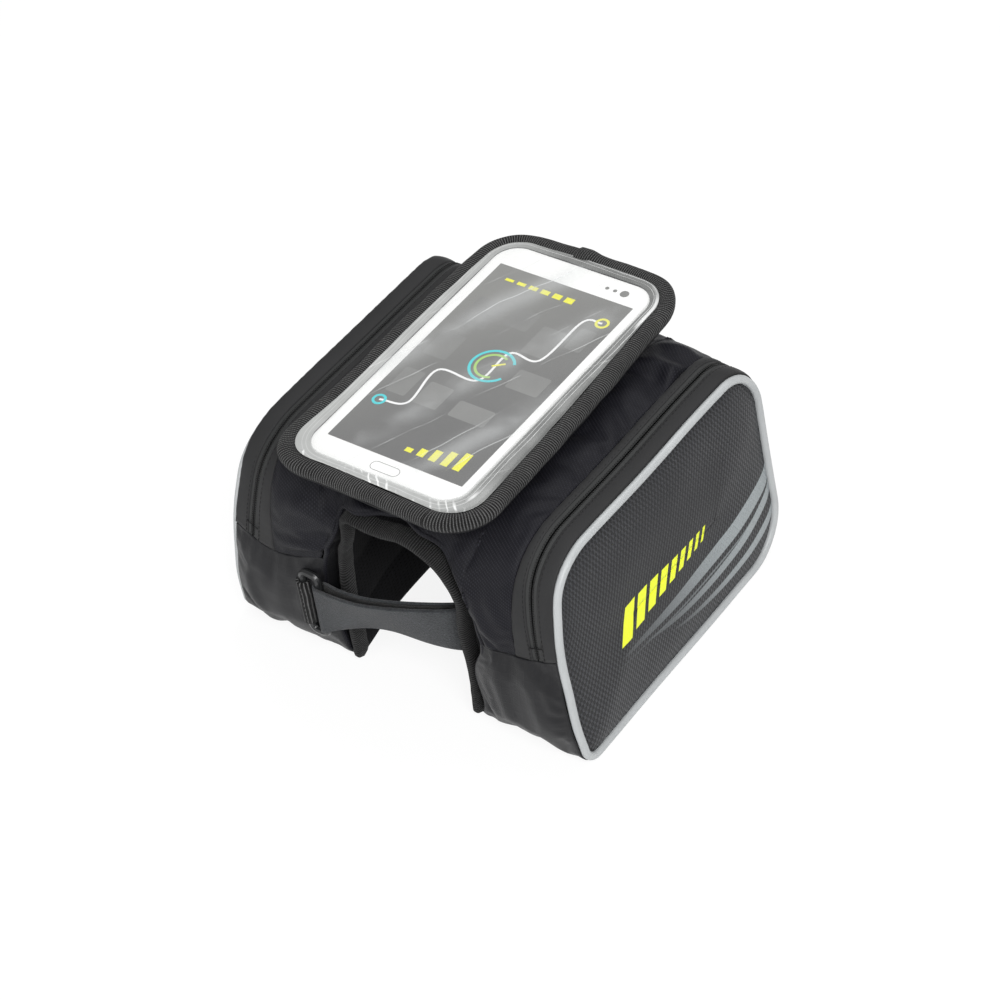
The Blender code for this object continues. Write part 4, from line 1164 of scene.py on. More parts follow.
def add_side_bag(side, label):
    """One side bag: its piping, panel, zip with the cloth beside it, stitches and lower cloth."""
    inside = (side * 60 * mm, 0, 50 * mm)

    outline = side_outline(piping_radius + 0.3 * mm, 320)
    middle = in_space(side * (outer_x(outline[:, 1]) - piping_depth), outline)
    middle = top_lowered(settled(middle), side)
    add_tube(f"{label}_reflective_piping", middle, piping_radius * 0.94, reflective, "reflective",
             [f"{label}_piping"])
    add_outer_panel(side, label)

    # Upper gusset: coated strips each side of the zip
    tape_edge = zip_slot / 2 + zip_tape_width
    sunk = 0.25 * mm
    under_piping, over_tape, under_strip, coil_room = 1.6 * mm, 0.3 * mm, 0.6 * mm, 0.25 * mm
    outer = strip(side, side_first - under_piping, zip_from_panel - tape_edge + over_tape, 9)
    outer = settled(puckered(domed(outer, inside, 0.35 * mm), inside, "low", 0.08 * mm, side + 2))
    if side < 0:
        rise = smooth(84 * mm, 98 * mm, outer[..., 2]) * np.linspace(1, 0, outer.shape[1])[None]
        outer[..., 2] += 1.3 * mm * rise
    add_grid(f"{label}_gusset_outer", outer, cloth_map(outer), coated, "coated_fabric",
             [f"{label}_zip_gusset_outer"], inside, thickness=cloth_thickness)
    first = plane_column(side, zip_from_panel + tape_edge - over_tape)
    last = seam_column(side, gusset_seam_x, body_height + seam_rise)
    shares = np.linspace(0, 1, 9)[None, :, None]
    inner = first[:, None] + (last - first)[:, None] * shares
    inner = settled(puckered(domed(inner, inside, 0.3 * mm), inside, "high", 0.10 * mm, side + 5))
    add_grid(f"{label}_gusset_inner", inner, cloth_map(inner), coated, "coated_fabric",
             [f"{label}_zip_gusset_inner"], inside, thickness=cloth_thickness)

    # Zip tapes, a little lower than the strips, with the coil's teeth on their edges
    for kind, low, high in (
        ("outer", zip_from_panel - tape_edge - under_strip, zip_from_panel - zip_slot / 2 + coil_room),
        ("inner", zip_from_panel + zip_slot / 2 - coil_room, zip_from_panel + tape_edge + under_strip),
    ):
        tape = strip(side, low, high, 5)
        tape = settled(tape - outward_of(tape, inside) * sunk)
        add_grid(f"{label}_tape_{kind}", tape, cloth_map(tape), zip_tape, "zip_coil",
                 [f"{label}_zip_tape_{kind}"], inside, thickness=tape_thickness)
        add_teeth(side, label, kind, inside, sunk)

    # A flap of lining under the zip
    flap = strip(side, zip_from_panel - 8.6 * mm, zip_from_panel + 8 * mm, 7)
    drop = 5.2 * mm * np.sin(np.linspace(0.35, math.pi - 0.35, 7))
    flap = settled(flap - outward_of(flap, inside) * drop[None, :, None])
    piece = add_grid(f"{label}_zip_flap", flap, cloth_map(flap), lining, "coated_fabric", inside=inside,
                     thickness=lining_thickness)
    declare_sheet(piece)

    # A stitch row each side of the zip, and a bar tack over each of its ends
    row_from_zip = 3.6 * mm
    for number, depth in enumerate((zip_from_panel - row_from_zip, zip_from_panel + row_from_zip)):
        band = strip(side, depth - 0.5 * mm, depth + 0.5 * mm, 3)
        normal = outward_of(band, inside)[:, 1]
        row = settled(band[:, 1] + normal * 0.1 * mm)
        add_stitches(f"{label}_zip_stitches_{number + 1}", row, normal, pitch=2.3 * mm, length=1.6 * mm,
                     radius=0.15 * mm, slot="coated_fabric")
    tack_half = 3.4 * mm
    for name, at in (("rear", 4), ("front", path_steps - 5)):
        across = strip(side, zip_from_panel - tack_half, zip_from_panel + tack_half, 9)
        normal = outward_of(across, inside)
        row = settled(across[at] + normal[at] * 0.25 * mm)
        add_stitches(f"{label}_bar_tack_{name}", row, normal[at], pitch=0.5 * mm, length=0.42 * mm,
                     radius=0.25 * mm, slot="coated_fabric")
    add_lower_gusset(side, label)


def add_teeth(side, label, kind, inside, sunk):
    """The zip coil on one tape: small rounded teeth that reach into the slot and leave its middle free."""
    sign = -1 if kind == "outer" else 1
    low, high = sorted((zip_from_panel + sign * 0.42 * mm, zip_from_panel + sign * 1.0 * mm))
    band = strip(side, low, high, 3)
    normal = outward_of(band, inside)
    at = np.linspace(0.006, 0.994, int(path_lengths(band[:, 1])[-1] / (1.15 * mm)))
    start, end = settled(sampled(band[:, 0], at)), settled(sampled(band[:, 2], at))
    verts, faces = [], []
    for a, b, up in zip(start, end, sampled(normal[:, 1], at)):
        across = b - a
        across /= np.linalg.norm(across)
        ahead = np.cross(up, across)
        rings = []
        for share, width in ((0, 0.8), (0.25, 1.0), (0.75, 1.0), (1, 0.8)):
            centre = a + (b - a) * share - up * (sunk - 0.1 * mm)
            rings.append([
                centre + (ahead * math.cos(turn) * 0.36 + up * math.sin(turn) * 0.3) * mm * width
                for turn in bead_turns
            ])
        loft(verts, faces, rings)
    mesh = listed_mesh(f"{label}_teeth_{kind}", verts, faces)
    mesh.shade_smooth()
    add_piece(f"{label}_teeth_{kind}", mesh, zip_teeth, "zip_coil")


# Creases of the lower cloth by side, seen at the rear and carried on round the bottom and the front
lower_creases = {
    1: (((50, -77, 50), (58, -76, 12), 4.5, 1.6), ((66, -77, 56), (76, -76, 14), 5.0, 1.2),
        ((44, -77, 46), (47, -76, 20), 3.5, 1.0), ((56, 79, 24), (66, 72, 6), 4.0, 1.2)),
    -1: (((-80, -78, 50), (-72, -76, 5), 4.5, 1.8), ((-54, -78, 50), (-62, -76, 22), 5.0, 1.4),
         ((-46, -77, 44), (-52, -76, 26), 4.0, 1.0), ((-58, 79, 24), (-70, 72, 6), 4.0, 1.2)),
}


def add_lower_gusset(side, label):
    """The plain cloth round the bottom of a side bag, slack enough to crease."""
    columns, count = 30, 150
    grid = np.zeros((count, columns, 3))
    inner_guess = tunnel_half(rear_seam_dip, wall_offset)
    outer_guess = outer_x(rear_seam_outer) - side_first
    for i, share in enumerate(np.linspace(0, 1, columns)):
        path = resampled(lower_path(rear_seam(inner_guess + (outer_guess - inner_guess) * share)), count)
        height = np.maximum(0, path[:, 1])
        inner = tunnel_half(height, wall_offset)
        outer = outer_x(height) - side_first + 1.2 * mm
        grid[:, i] = in_space(side * (inner + (outer - inner) * share), path)
    inside = (side * 62 * mm, 0, 40 * mm)
    mesh = grid_mesh(f"{label}_lower_cloth", grid, cloth_map(grid), inside=inside)
    points = get_points(mesh)
    normal = outward_of(grid, inside).reshape(-1, 3)
    points += normal * (0.2 * mm * waves(points, 17 * mm, 21 + side))[:, None]
    edge = boundary_mask(mesh)
    points = np.where(edge[:, None], points, creased(points, normal, lower_creases[side]))
    set_points(mesh, points)
    floor_part = (grid.reshape(-1, 3)[:, 2] < 1.0 * mm) & ~edge
    moved = simulated(mesh, np.maximum(edge.astype(float), floor_part * 0.9), pressure=0.6, cap=3.5 * mm)
    moved = settled(moved)
    moved[:, 2] = np.maximum(moved[:, 2], 0.15 * mm)
    set_points(mesh, moved)
    piece = add_piece(f"{label}_lower_cloth", mesh, ripstop, "ripstop", [f"{label}_lower_gusset"],
                      thickness=cloth_thickness)
    subdivide(piece)
    declare_sheet(piece)


# Saddle and tunnel

def notch_height(across):
    """Height of the saddle's edge over the tunnel, at a distance from the middle."""
    share = np.clip((across - crown_flat_half) / (notch_x - crown_flat_half), 0, 1)
    return tunnel_spring_z + (crown_rise + wall_offset + 1.3 * mm) * math.sqrt(1 - share * share)


def clipped_column(side, across, rear_z, front_z, counts):
    """Points of a saddle column in runs of as many points as counts says: up to rear_z, over the top to
    front_z, and down to the front seam."""
    dense = resampled(saddle_path(across, saddle_height(across)), 1200)
    lengths = path_lengths(dense)
    highest = int(np.argmax(dense[:, 1]))
    rising = np.interp(rear_z, dense[:highest + 1, 1], lengths[:highest + 1])
    falling = dense[::-1, 1]
    turn = int(np.argmax(falling))
    sinking = np.interp(front_z, falling[:turn + 1], lengths[::-1][:turn + 1])
    runs = []
    if counts[0]:
        runs.append(resampled(dense, counts[0] + 1, 0, rising)[:-1])
    runs.append(resampled(dense, counts[1], rising, sinking))
    if counts[2]:
        runs.append(resampled(dense, counts[2] + 1, sinking, lengths[-1])[1:])
    flat = np.vstack(runs)
    return in_space(side * across, flat)


# Creases of the saddle cloth: from the pouch's corners to the zips, and down the rear and front faces
saddle_creases = (
    ((41, 46, 104), (66, 52, 103), 5.0, 3.4),
    ((59, 51, 104), (61, 40, 103), 4.5, 1.8),
    ((45, 62, 103), (60, 66, 102), 4.0, 1.8),
    ((40, 20, 104), (59, 4, 103), 5.0, 0.9),
    ((38, -62, 101), (57, -70, 88), 5.0, 1.3),
    ((33, -72, 99), (43, -79, 76), 6.0, 2.6),
    ((43, -79, 76), (53, -79, 58), 6.0, 2.8),
    ((50, -80, 88), (57, -79, 64), 4.5, 1.6),
    ((44, 82, 96), (52, 80, 60), 4.5, 1.3),
    ((-42, -48, 103), (-60, -56, 99), 4.0, 1.5),
    ((-38, -70, 98), (-56, -79, 80), 4.5, 2.2),
    ((-50, -78, 86), (-26, -76, 88), 4.5, 2.4),
    ((-46, -79, 74), (-22, -77, 78), 5.0, -3.2),
    ((-58, -79, 62), (-34, -77, 66), 4.5, 2.2),
    ((36, -74, 84), (47, -79, 50), 3.5, 2.0),
    ((-20, -72, 103), (12, -72, 103), 3.5, 1.6),
    ((-42, 40, 103), (-60, 34, 103), 4.5, 1.2),
    ((-44, 66, 101), (-58, 72, 98), 4.0, 1.2),
    ((-46, 82, 94), (-54, 80, 56), 4.5, 1.3),
)


def add_saddle():
    """The cover over both side bags and the tunnel, in one piece, with a notch at each end."""
    rear_count, over_count, front_count = 8, 104, 22
    counts = (rear_count, over_count, front_count)
    meshes = []
    inside = (0, 0, 40 * mm)
    for side in (1, -1):
        columns = [
            clipped_column(side, across, tunnel_spring_z, tunnel_spring_z, counts)
            for across in np.linspace(gusset_seam_x, notch_x, 12)
        ]
        grid = np.stack(columns, axis=1)
        cloth = np.stack((np.abs(grid[..., 0]) * side, np.repeat(
            path_lengths(grid[:, 0])[:, None], grid.shape[1], axis=1)), axis=2)
        meshes.append(grid_mesh("saddle_side", grid, cloth, inside=inside))
    turns = np.linspace(-1, 1, 47)
    spread = np.sin(turns * math.pi / 2) * notch_x
    columns = []
    for x in spread:
        height = float(notch_height(abs(x)))
        columns.append(clipped_column(1 if x >= 0 else -1, abs(x), height, height, (0, over_count, 0)))
    grid = np.stack(columns, axis=1)
    side_lengths = path_lengths(clipped_column(1, notch_x, tunnel_spring_z, tunnel_spring_z, counts))
    low, high = side_lengths[rear_count], side_lengths[rear_count + over_count - 1]
    cloth = np.zeros(grid.shape[:2] + (2,))
    for i, x in enumerate(spread):
        run = path_lengths(grid[:, i])
        cloth[:, i, 0] = x
        cloth[:, i, 1] = (low + high) / 2 + run - run[-1] / 2
    meshes.append(grid_mesh("saddle_middle", grid, cloth, inside=inside))
    mesh = joined("saddle_cloth", meshes)
    points = get_points(mesh)
    normal = np.zeros(len(points) * 3)
    mesh.vertices.foreach_get("normal", normal)
    normal = normal.reshape(-1, 3)
    edge = boundary_mask(mesh)
    points += normal * (0.25 * mm * waves(points, 21 * mm, 31) * ~edge)[:, None]
    points = np.where(edge[:, None], points, creased(points, normal, saddle_creases))
    set_points(mesh, points)
    under_pouch = (np.abs(points[:, 0]) < 34 * mm) & (np.abs(points[:, 1]) < 66 * mm)
    under_pouch &= points[:, 2] > 95 * mm
    pinned = np.maximum(edge.astype(float), under_pouch * 0.95)
    set_points(mesh, settled(simulated(mesh, pinned, pressure=0.5, cap=4.0 * mm)))
    piece = add_piece("saddle_cloth", mesh, dobby, "dobby_fabric", ["saddle_cover"],
                      thickness=cloth_thickness)
    subdivide(piece)
    declare_sheet(piece)


def tunnel_section(offset, count, floor=1.0 * mm):
    """The tunnel's section in X and Z, from the left foot over the crown to the right foot."""
    turn = np.linspace(0, math.pi / 2, 40)
    arch = np.stack((
        crown_flat_half + (crown_half + offset) * np.cos(turn),
        tunnel_spring_z + (crown_rise + offset) * np.sin(turn),
    ), axis=1)
    foot = np.array([[tunnel_half(floor, offset), floor]])
    right = np.vstack((foot, arch))
    left = right * np.array((-1, 1))
    return resampled(np.vstack((left, right[::-1])), count)


def add_tunnel():
    """The padded lining of the tunnel, and the ribbed tape folded round each of its ends."""
    section = tunnel_section(pad_thickness, 150)
    along = np.linspace(pad_rear_y + 4 * mm, pad_front_y - 4 * mm, 70)
    grid = drawn_out(section[:, 0], along, section[:, 1])
    inward = -outward_of(grid, (0, 0, 30 * mm))
    channel = np.abs(np.sin(path_lengths(section)[:, None] * math.pi / (24 * mm)))
    face = grid + inward * (pad_thickness * (0.45 + 0.55 * channel ** 0.4))[..., None]
    whole = np.concatenate((face, grid[::-1], face[:1]), axis=0)
    mesh = weld(grid_mesh("tunnel_padding", settled(whole, outer=False), cloth_map(whole)))
    faced_outwards(mesh, capped=True, most_sides=4)
    mesh.shade_smooth()
    piece = add_piece("tunnel_padding", mesh, spacer_mesh, "pad_fabric", ["tunnel_pad"])
    for name, low, high in (("rear", pad_rear_y, pad_rear_y + binding_width),
                            ("front", pad_front_y - binding_width, pad_front_y)):
        add_tunnel_binding(name, low, high)


def powered(values, power):
    """Values raised to a power with their signs kept, which squares off a round section."""
    return np.sign(values) * np.abs(values) ** power


def add_tunnel_binding(name, low, high):
    """A folded tape with a rounded section, run along the tunnel's end from foot to foot."""
    count, ring = 170, 20
    middle = tunnel_section(pad_thickness / 2, count)
    ahead = headings(middle)
    out = np.stack((-ahead[:, 1], ahead[:, 0]), axis=1)
    half_y, half_out = (high - low) / 2, (pad_thickness + 0.6 * mm) / 2
    turns = turns_round(ring)
    across = powered(np.cos(turns), 0.7) * half_y + (low + high) / 2
    up = powered(np.sin(turns), 0.7) * half_out
    from_end = np.minimum(path_lengths(middle), path_lengths(middle[::-1])[::-1])
    end_round = np.sqrt(1 - (1 - np.clip(from_end / half_y, 0, 1)) ** 2 * 0.96)
    bulge = 1 + 0.08 * np.sin(np.arange(count) * 0.9) * np.sin(np.arange(count) * 0.23)
    points = np.zeros((count, ring, 3))
    scaled = up[None] * (bulge * (0.5 + 0.5 * end_round))[:, None]
    points[..., 0] = middle[:, None, 0] + out[:, None, 0] * scaled
    points[..., 1] = (low + high) / 2 + (across[None] - (low + high) / 2) * end_round[:, None]
    points[..., 2] = middle[:, None, 1] + out[:, None, 1] * scaled
    cloth = flat_map(np.linspace(0, 4 * (half_y + half_out), ring + 1), path_lengths(middle))
    mesh = grid_mesh(f"tunnel_edging_{name}", settled(points, outer=False), cloth, wrap=True)
    faced_outwards(mesh, capped=True)
    mesh.shade_smooth()
    add_piece(f"tunnel_edging_{name}", mesh, shaded_tunnel_webbing, "webbing", [f"tunnel_binding_{name}"])


wall_low, wall_high = 3 * mm, 92 * mm
wall_rear, wall_front = -71 * mm, 68 * mm


def add_inner_walls():
    """The thin cloth between the tunnel's pad and each side bag."""
    for side, label in ((1, "right"), (-1, "left")):
        heights = np.linspace(wall_low, wall_high, 50)
        half = tunnel_half(heights, wall_offset + 0.2 * mm)
        grid = drawn_out(side * half, np.linspace(wall_rear, wall_front, 60), heights)
        moved = settled(grid, outer=False)
        piece = add_grid(f"{label}_wall_cloth", moved, cloth_map(grid), ripstop, "ripstop",
                         [f"{label}_inner_wall"], (0, 0, 0), thickness=lining_thickness, offset=1.0)
        declare_sheet(piece)


def face_y(height, end):
    """Where the bag's rear (-1) or front (1) face lies at a height, below its rounded top."""
    lower = lower_path(rear_seam_dip)
    lower = lower[lower[:, 0] * end > 40 * mm]
    lower = lower[np.argsort(lower[:, 1])]
    if height < lower[-1, 1]:
        return float(np.interp(height, lower[:, 1], lower[:, 0]))
    share = height / body_height
    if end < 0:
        return rear_bottom_y + (rear_top_y - rear_bottom_y) * share
    return front_bottom_y + (front_top_y - front_bottom_y) * share


def mouth_edge(end):
    """The outer cloth's edge round the tunnel's mouth at one end, from the left foot to the right one."""
    half = []
    for height in np.linspace(2.5 * mm, tunnel_spring_z - 6 * mm, 30):
        half.append((float(tunnel_half(height, wall_offset)) + 0.6 * mm, face_y(height, end), height))
    for x in np.sin(np.linspace(math.pi / 2, 0, 34)) * notch_x:
        height = float(notch_height(x))
        column = clipped_column(1, x, height, height, (0, 40, 0))
        half.append(tuple(column[0] if end < 0 else column[-1]))
    half = np.array(half)
    return np.vstack((half * np.array((-1, 1, 1)), half[::-1][1:]))


def add_mouth(end, name):
    """The turned hem of the outer cloth at one end of the tunnel, and the cloth that runs on in to the
    pad."""
    count, columns_in = 220, 9
    edge = resampled(mouth_edge(end), count)
    hem = resampled(smooth_route(resampled(edge, 60), 5), count)
    number = np.arange(count)
    girth = 1.25 * mm * (1 + 0.10 * np.sin(number * 0.21) * np.sin(number * 0.07 + 1))
    moved = settled(hem - np.array((0, end * 1.2 * mm, 0)))
    add_tube(f"{name}_mouth_hem", moved, girth, dobby, "dobby_fabric", closed=False, up=(0, 1, 0))
    section = np.stack((hem[:, 0], hem[:, 2]), axis=1)
    inner = resampled(tunnel_section(wall_offset + 0.35 * mm, 400, floor=2.5 * mm), count)
    columns = []
    for share in np.linspace(0, 1, columns_in):
        flat = section + (inner - section) * smooth(0, 0.7, share)
        inward = end * (1.2 * mm + 14 * mm * share)
        columns.append(np.stack((flat[:, 0], hem[:, 1] - inward, flat[:, 1]), axis=1))
    grid = np.stack(columns, axis=1)
    blend = np.linspace(0, 1, columns_in)[None, :, None]
    grid = settled(grid) * (1 - blend) + settled(grid, outer=False) * blend
    middle = (0, grid[..., 1].mean(), 45 * mm)
    piece = add_grid(f"{name}_mouth_return", grid, cloth_map(grid), ripstop, "ripstop", inside=middle,
                     thickness=0.4 * mm, offset=0.0)
    declare_sheet(piece)


# Strap, ring and tab

strap_width = 26 * mm
strap_thickness = 1.3 * mm
strap_left_z = 33.4 * mm
strap_slope = 0.085
ring_y = -81.7 * mm
strap_bar_x, tab_bar_x = -37.5 * mm, -46.0 * mm
ring_wire = 1.7 * mm
ring_centre_z = 34.6 * mm
sewn_rear_y, sewn_length = -59.0 * mm, 9.0 * mm
strap_bow = ((0.04, 5.9), (0.14, 8.9), (0.34, 9.1), (0.58, 6.7), (0.85, 2.9))
layers_apart = 4.6 * mm
turn_lead = 2.0 * mm
tab_width, tab_thickness = 24 * mm, 1.2 * mm
tab_foot_x, tab_bend_x, tab_seam_x = -41.2 * mm, -43.7 * mm, -45.6 * mm


def smooth_route(points, steps):
    """Points of a smooth curve through the given ones."""
    points = [np.array(p, float) for p in points]
    ends = [points[0] * 2 - points[1]] + points + [points[-1] * 2 - points[-2]]
    route = []
    for a, b, c, d in zip(ends, ends[1:], ends[2:], ends[3:]):
        for i in range(steps):
            t = i / steps
            route.append(0.5 * (2 * b + (c - a) * t + (2 * a - 5 * b + 4 * c - d) * t * t
                                + (3 * b - a - 3 * c + d) * t * t * t))
    return np.array(route + [points[-1]])


def strap_centre_z(x):
    """Height of the strap's middle line."""
    return strap_left_z + strap_slope * (x - strap_bar_x)


def add_strap():
    """The strap across the tunnel's rear mouth: sewn at the right, doubled back through the ring."""
    turn_radius = ring_wire + 0.3 * mm + strap_thickness / 2
    lowest = strap_centre_z(tunnel_floor_half) - strap_width / 2
    sewn_x = float(tunnel_half(lowest, 0)) - 0.3 * mm - strap_thickness / 2
    bar = np.array((strap_bar_x, ring_y))
    sewn_front = np.array((sewn_x, sewn_rear_y + sewn_length))
    sewn_rear = np.array((sewn_x, sewn_rear_y))
    turn_start = bar + np.array((turn_lead, -turn_radius))
    turn_end = bar + np.array((turn_lead, turn_radius))
    bowed = [
        sewn_rear + (turn_start - sewn_rear) * share - np.array((0, bow * mm)) for share, bow in strap_bow
    ]
    front_layer = [sewn_front, sewn_rear] + bowed + [turn_start]
    back_layer = [turn_end] + [p + np.array((0, layers_apart)) for p in reversed(bowed[1:])]
    back_layer += [bowed[0] + np.array((-1.2 * mm, 3.6 * mm)), sewn_rear + np.array((-1.9 * mm, 4 * mm))]
    angles = -math.pi / 2 - np.linspace(0, math.pi, 17)
    turn = bar + np.stack((np.cos(angles), np.sin(angles)), axis=1) * turn_radius
    route = np.vstack((smooth_route(front_layer, 10), turn, smooth_route(back_layer, 10)))
    route = resampled(route, 150)
    lengths = path_lengths(route)
    rows = 13
    across = np.linspace(-0.5, 0.5, rows)
    points = np.zeros((len(route), rows, 3))
    ahead = headings(route)
    side_way = np.stack((ahead[:, 1], -ahead[:, 0]), axis=1)
    crossing = np.clip((route[:, 0] - strap_bar_x) / (sewn_x - strap_bar_x), 0, 1)
    twist = 0.40 * strap_width * np.sin(crossing ** 0.75 * math.pi) ** 1.2
    upright = np.sqrt(1 - (twist / strap_width) ** 2)
    rise = 4.5 * mm * np.sin(crossing ** 0.7 * math.pi) + 3.5 * mm * crossing
    for j, share in enumerate(across):
        edge_curl = (abs(share) * 2) ** 6 * 0.25 * mm
        waver = 0.35 * mm * np.sin(lengths * 2 * math.pi / (41 * mm) + share * 3)
        shift = (edge_curl + waver) * 0.6
        points[:, j, 0] = route[:, 0] + side_way[:, 0] * shift
        points[:, j, 1] = route[:, 1] + side_way[:, 1] * shift - share * twist
        points[:, j, 2] = strap_centre_z(route[:, 0]) + rise + share * strap_width * upright
    cloth = flat_map(across * strap_width, lengths)
    piece = add_grid("rear_strap", points, cloth, strap_grey, "strap_fabric", ["tube_strap"], (0, 0, 0),
                     thickness=strap_thickness, inner=strap_black, offset=0.0)
    subdivide(piece)
    declare_sheet(piece)


def add_tab():
    """Webbing sewn beside the tunnel, with its end turned round the ring's far bar."""
    radius = ring_wire + 0.3 * mm + tab_thickness / 2
    bar = np.array((tab_bar_x, ring_y))
    sewn_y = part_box("ring_tab")[1].y - tab_thickness / 2
    angles = np.radians(np.linspace(100, 375, 40))
    turn = bar + np.stack((np.cos(angles), np.sin(angles)), axis=1) * radius
    route = resampled(np.vstack(([[tab_foot_x, sewn_y], [tab_bend_x, sewn_y]], turn)), 60)
    across = np.linspace(-0.5, 0.5, 7) * tab_width
    points = np.zeros((len(route), len(across), 3))
    points[..., :2] = route[:, None]
    points[..., 2] = ring_centre_z + across
    cloth = flat_map(across, path_lengths(route))
    piece = add_grid("ring_webbing", points, cloth, tab_webbing, "webbing", ["ring_tab"], (*bar, 0),
                     thickness=tab_thickness, offset=0.0)
    declare_sheet(piece)
    line = np.stack((np.full(30, tab_seam_x), np.full(30, ring_y - radius - tab_thickness / 2),
                     ring_centre_z + np.linspace(-0.45, 0.45, 30) * tab_width), axis=1)
    normal = np.broadcast_to(np.array((0.0, -1.0, 0.0)), line.shape)
    add_stitches("ring_webbing_stitches", line, normal, pitch=2.4 * mm, length=1.7 * mm, radius=0.24 * mm,
                 slot="webbing")


# Phone pouch

pouch_half_width = 51.5 * mm
pouch_rear, pouch_front = -83.5 * mm, 85.0 * mm
pouch_round = 22 * mm
pouch_middle_y = (pouch_rear + pouch_front) / 2
pouch_binding_width = 7.5 * mm
binding_low, binding_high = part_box("pouch_binding")[0].z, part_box("pouch_binding")[1].z
window_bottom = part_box("pouch_window")[0].z
card_aside = -1.2 * mm
screen_half = (34.25 * mm, 60.9 * mm)
film_rise = 0.48 * mm
pouch_leaning = 0.034
pouch_lean_from = 34 * mm


def pouch_outline(inset, count):
    """The pouch's outline in X and Y, moved inwards by inset."""
    x, rear, front = pouch_half_width - inset, pouch_rear + inset, pouch_front - inset
    corners = [(x, rear), (x, front), (-x, front), (-x, rear)]
    return closed_resampled(rounded(corners, [max(4 * mm, pouch_round - inset)] * 4), count)


def pouch_lift(points):
    """The pouch's slight warp: its corners droop or lift a little."""
    x = points[..., 0] / pouch_half_width
    y = (points[..., 1] - pouch_middle_y) / (pouch_front - pouch_middle_y)
    return (-0.5 * x * x + 0.35 * x * y + 0.25 * np.sin(y * 4.1 + 0.6)) * mm * 0.5


def pouch_lean(points, foot=None):
    """How far the pouch leans down to the left. A piece that stands on something stays there at its foot."""
    down = pouch_leaning * (pouch_lean_from - points[..., 0])
    if foot is None:
        return down
    return down * smooth(foot, foot + 3 * mm, points[..., 2])


def leaned(mesh, foot=None, aside=0.0):
    """Moves a pouch piece down with the pouch's lean, and aside."""
    points = get_points(mesh)
    points[:, 2] -= pouch_lean(points, foot)
    points[:, 0] += aside
    set_points(mesh, points)


def pouch_bulge(points):
    """The pouch's edge isn't quite straight: it wanders in and out a little."""
    moved = points.copy()
    x, y = points[..., 0] / pouch_half_width, points[..., 1]
    moved[..., 0] += 0.9 * mm * x * np.sin(y / (24 * mm) + np.where(x < 0, 1.0, 2.6))
    moved[..., 1] += 0.5 * mm * (y / pouch_front) * np.sin(points[..., 0] / (17 * mm) + 0.5)
    push(moved[..., :2], points[..., :2], (
        ((-50, -72), (22, 34), (-3.2, -0.6)), ((50, -78), (24, 34), (2.2, -1.0)),
        ((50, 74), (24, 34), (-2.0, -1.2)), ((-50, -84), (15, 15), (-1.2, -2.2)),
    ))
    return moved


def add_pouch_binding():
    """Ribbed tape folded over the window's edge, plump and a little uneven, with its ends lapped at the
    front."""
    around, ring = 420, 26
    middle = pouch_outline(pouch_binding_width / 2 + 0.2 * mm, around)
    ahead = headings(middle, closed=True)
    out = np.stack((ahead[:, 1], -ahead[:, 0]), axis=1)
    lengths = path_lengths(np.vstack((middle, middle[:1])))
    whole = lengths[-1]
    place = lengths[:-1]
    round_trip = place * 2 * math.pi / whole
    width = (pouch_binding_width + 0.4 * mm) / 2 * (
        1 + 0.05 * np.sin(round_trip * 9 + 1) + 0.04 * np.sin(round_trip * 23)
    )
    height = (binding_high - binding_low) / 2 * (
        1 + 0.05 * np.sin(round_trip * 13 + 2) + 0.03 * np.sin(round_trip * 37)
    )
    lap_place = place[np.argmin(np.linalg.norm(middle - np.array((-8.4 * mm, pouch_front)), axis=1))]
    past_lap = (place - lap_place + whole / 2) % whole - whole / 2
    lapped = np.where(past_lap < 0, smooth(11 * mm, 4 * mm, -past_lap), smooth(1.2 * mm, 0, past_lap))
    height = height + 0.9 * mm * lapped
    width = width + 0.8 * mm * lapped
    turns = turns_round(ring)
    across, up = powered(np.cos(turns), 0.85), powered(np.sin(turns), 0.85)
    points = np.zeros((around, ring, 3))
    points[..., :2] = middle[:, None] + out[:, None] * (across[None] * width[:, None])[..., None]
    points[..., 2] = (binding_low + binding_high) / 2 + up[None] * height[:, None]
    points[..., 2] += pouch_lift(points)
    points = pouch_bulge(points)
    points[..., 2] -= pouch_lean(points)
    points = np.concatenate((points, points[:1]), axis=0)
    cloth = flat_map(np.linspace(0, 23 * mm, ring + 1), lengths)
    mesh = weld(grid_mesh("pouch_edging", points, cloth, wrap=True))
    faced_outwards(mesh)
    mesh.shade_smooth()
    add_piece("pouch_edging", mesh, webbing, "webbing", ["pouch_binding"])


def ring_grid(levels, count):
    """A grid of pouch outlines: (inset, height) from the outer ring inwards."""
    rows = []
    for inset, height in levels:
        outline = pouch_outline(inset, count)
        rows.append(np.concatenate((outline, np.full((count, 1), height)), axis=1))
    return np.array(rows)


def filled_grid_mesh(name, grid, inside):
    """A mesh through closed rings, with the last ring drawn in to a middle line."""
    last = grid[-1]
    reach = np.abs(last[:, 0]).max()
    core = last.copy()
    core[:, 0] = 0
    core[:, 1] = np.clip(last[:, 1], last[:, 1].min() + reach, last[:, 1].max() - reach)
    extra = [last + (core - last) * share for share in np.linspace(0, 1, 17)[1:]]
    whole = np.concatenate((grid, np.array(extra)), axis=0)
    cloth = np.concatenate((whole[..., :2], whole[:, :1, :2]), axis=1)
    return weld(grid_mesh(name, whole, cloth, wrap=True, inside=inside))


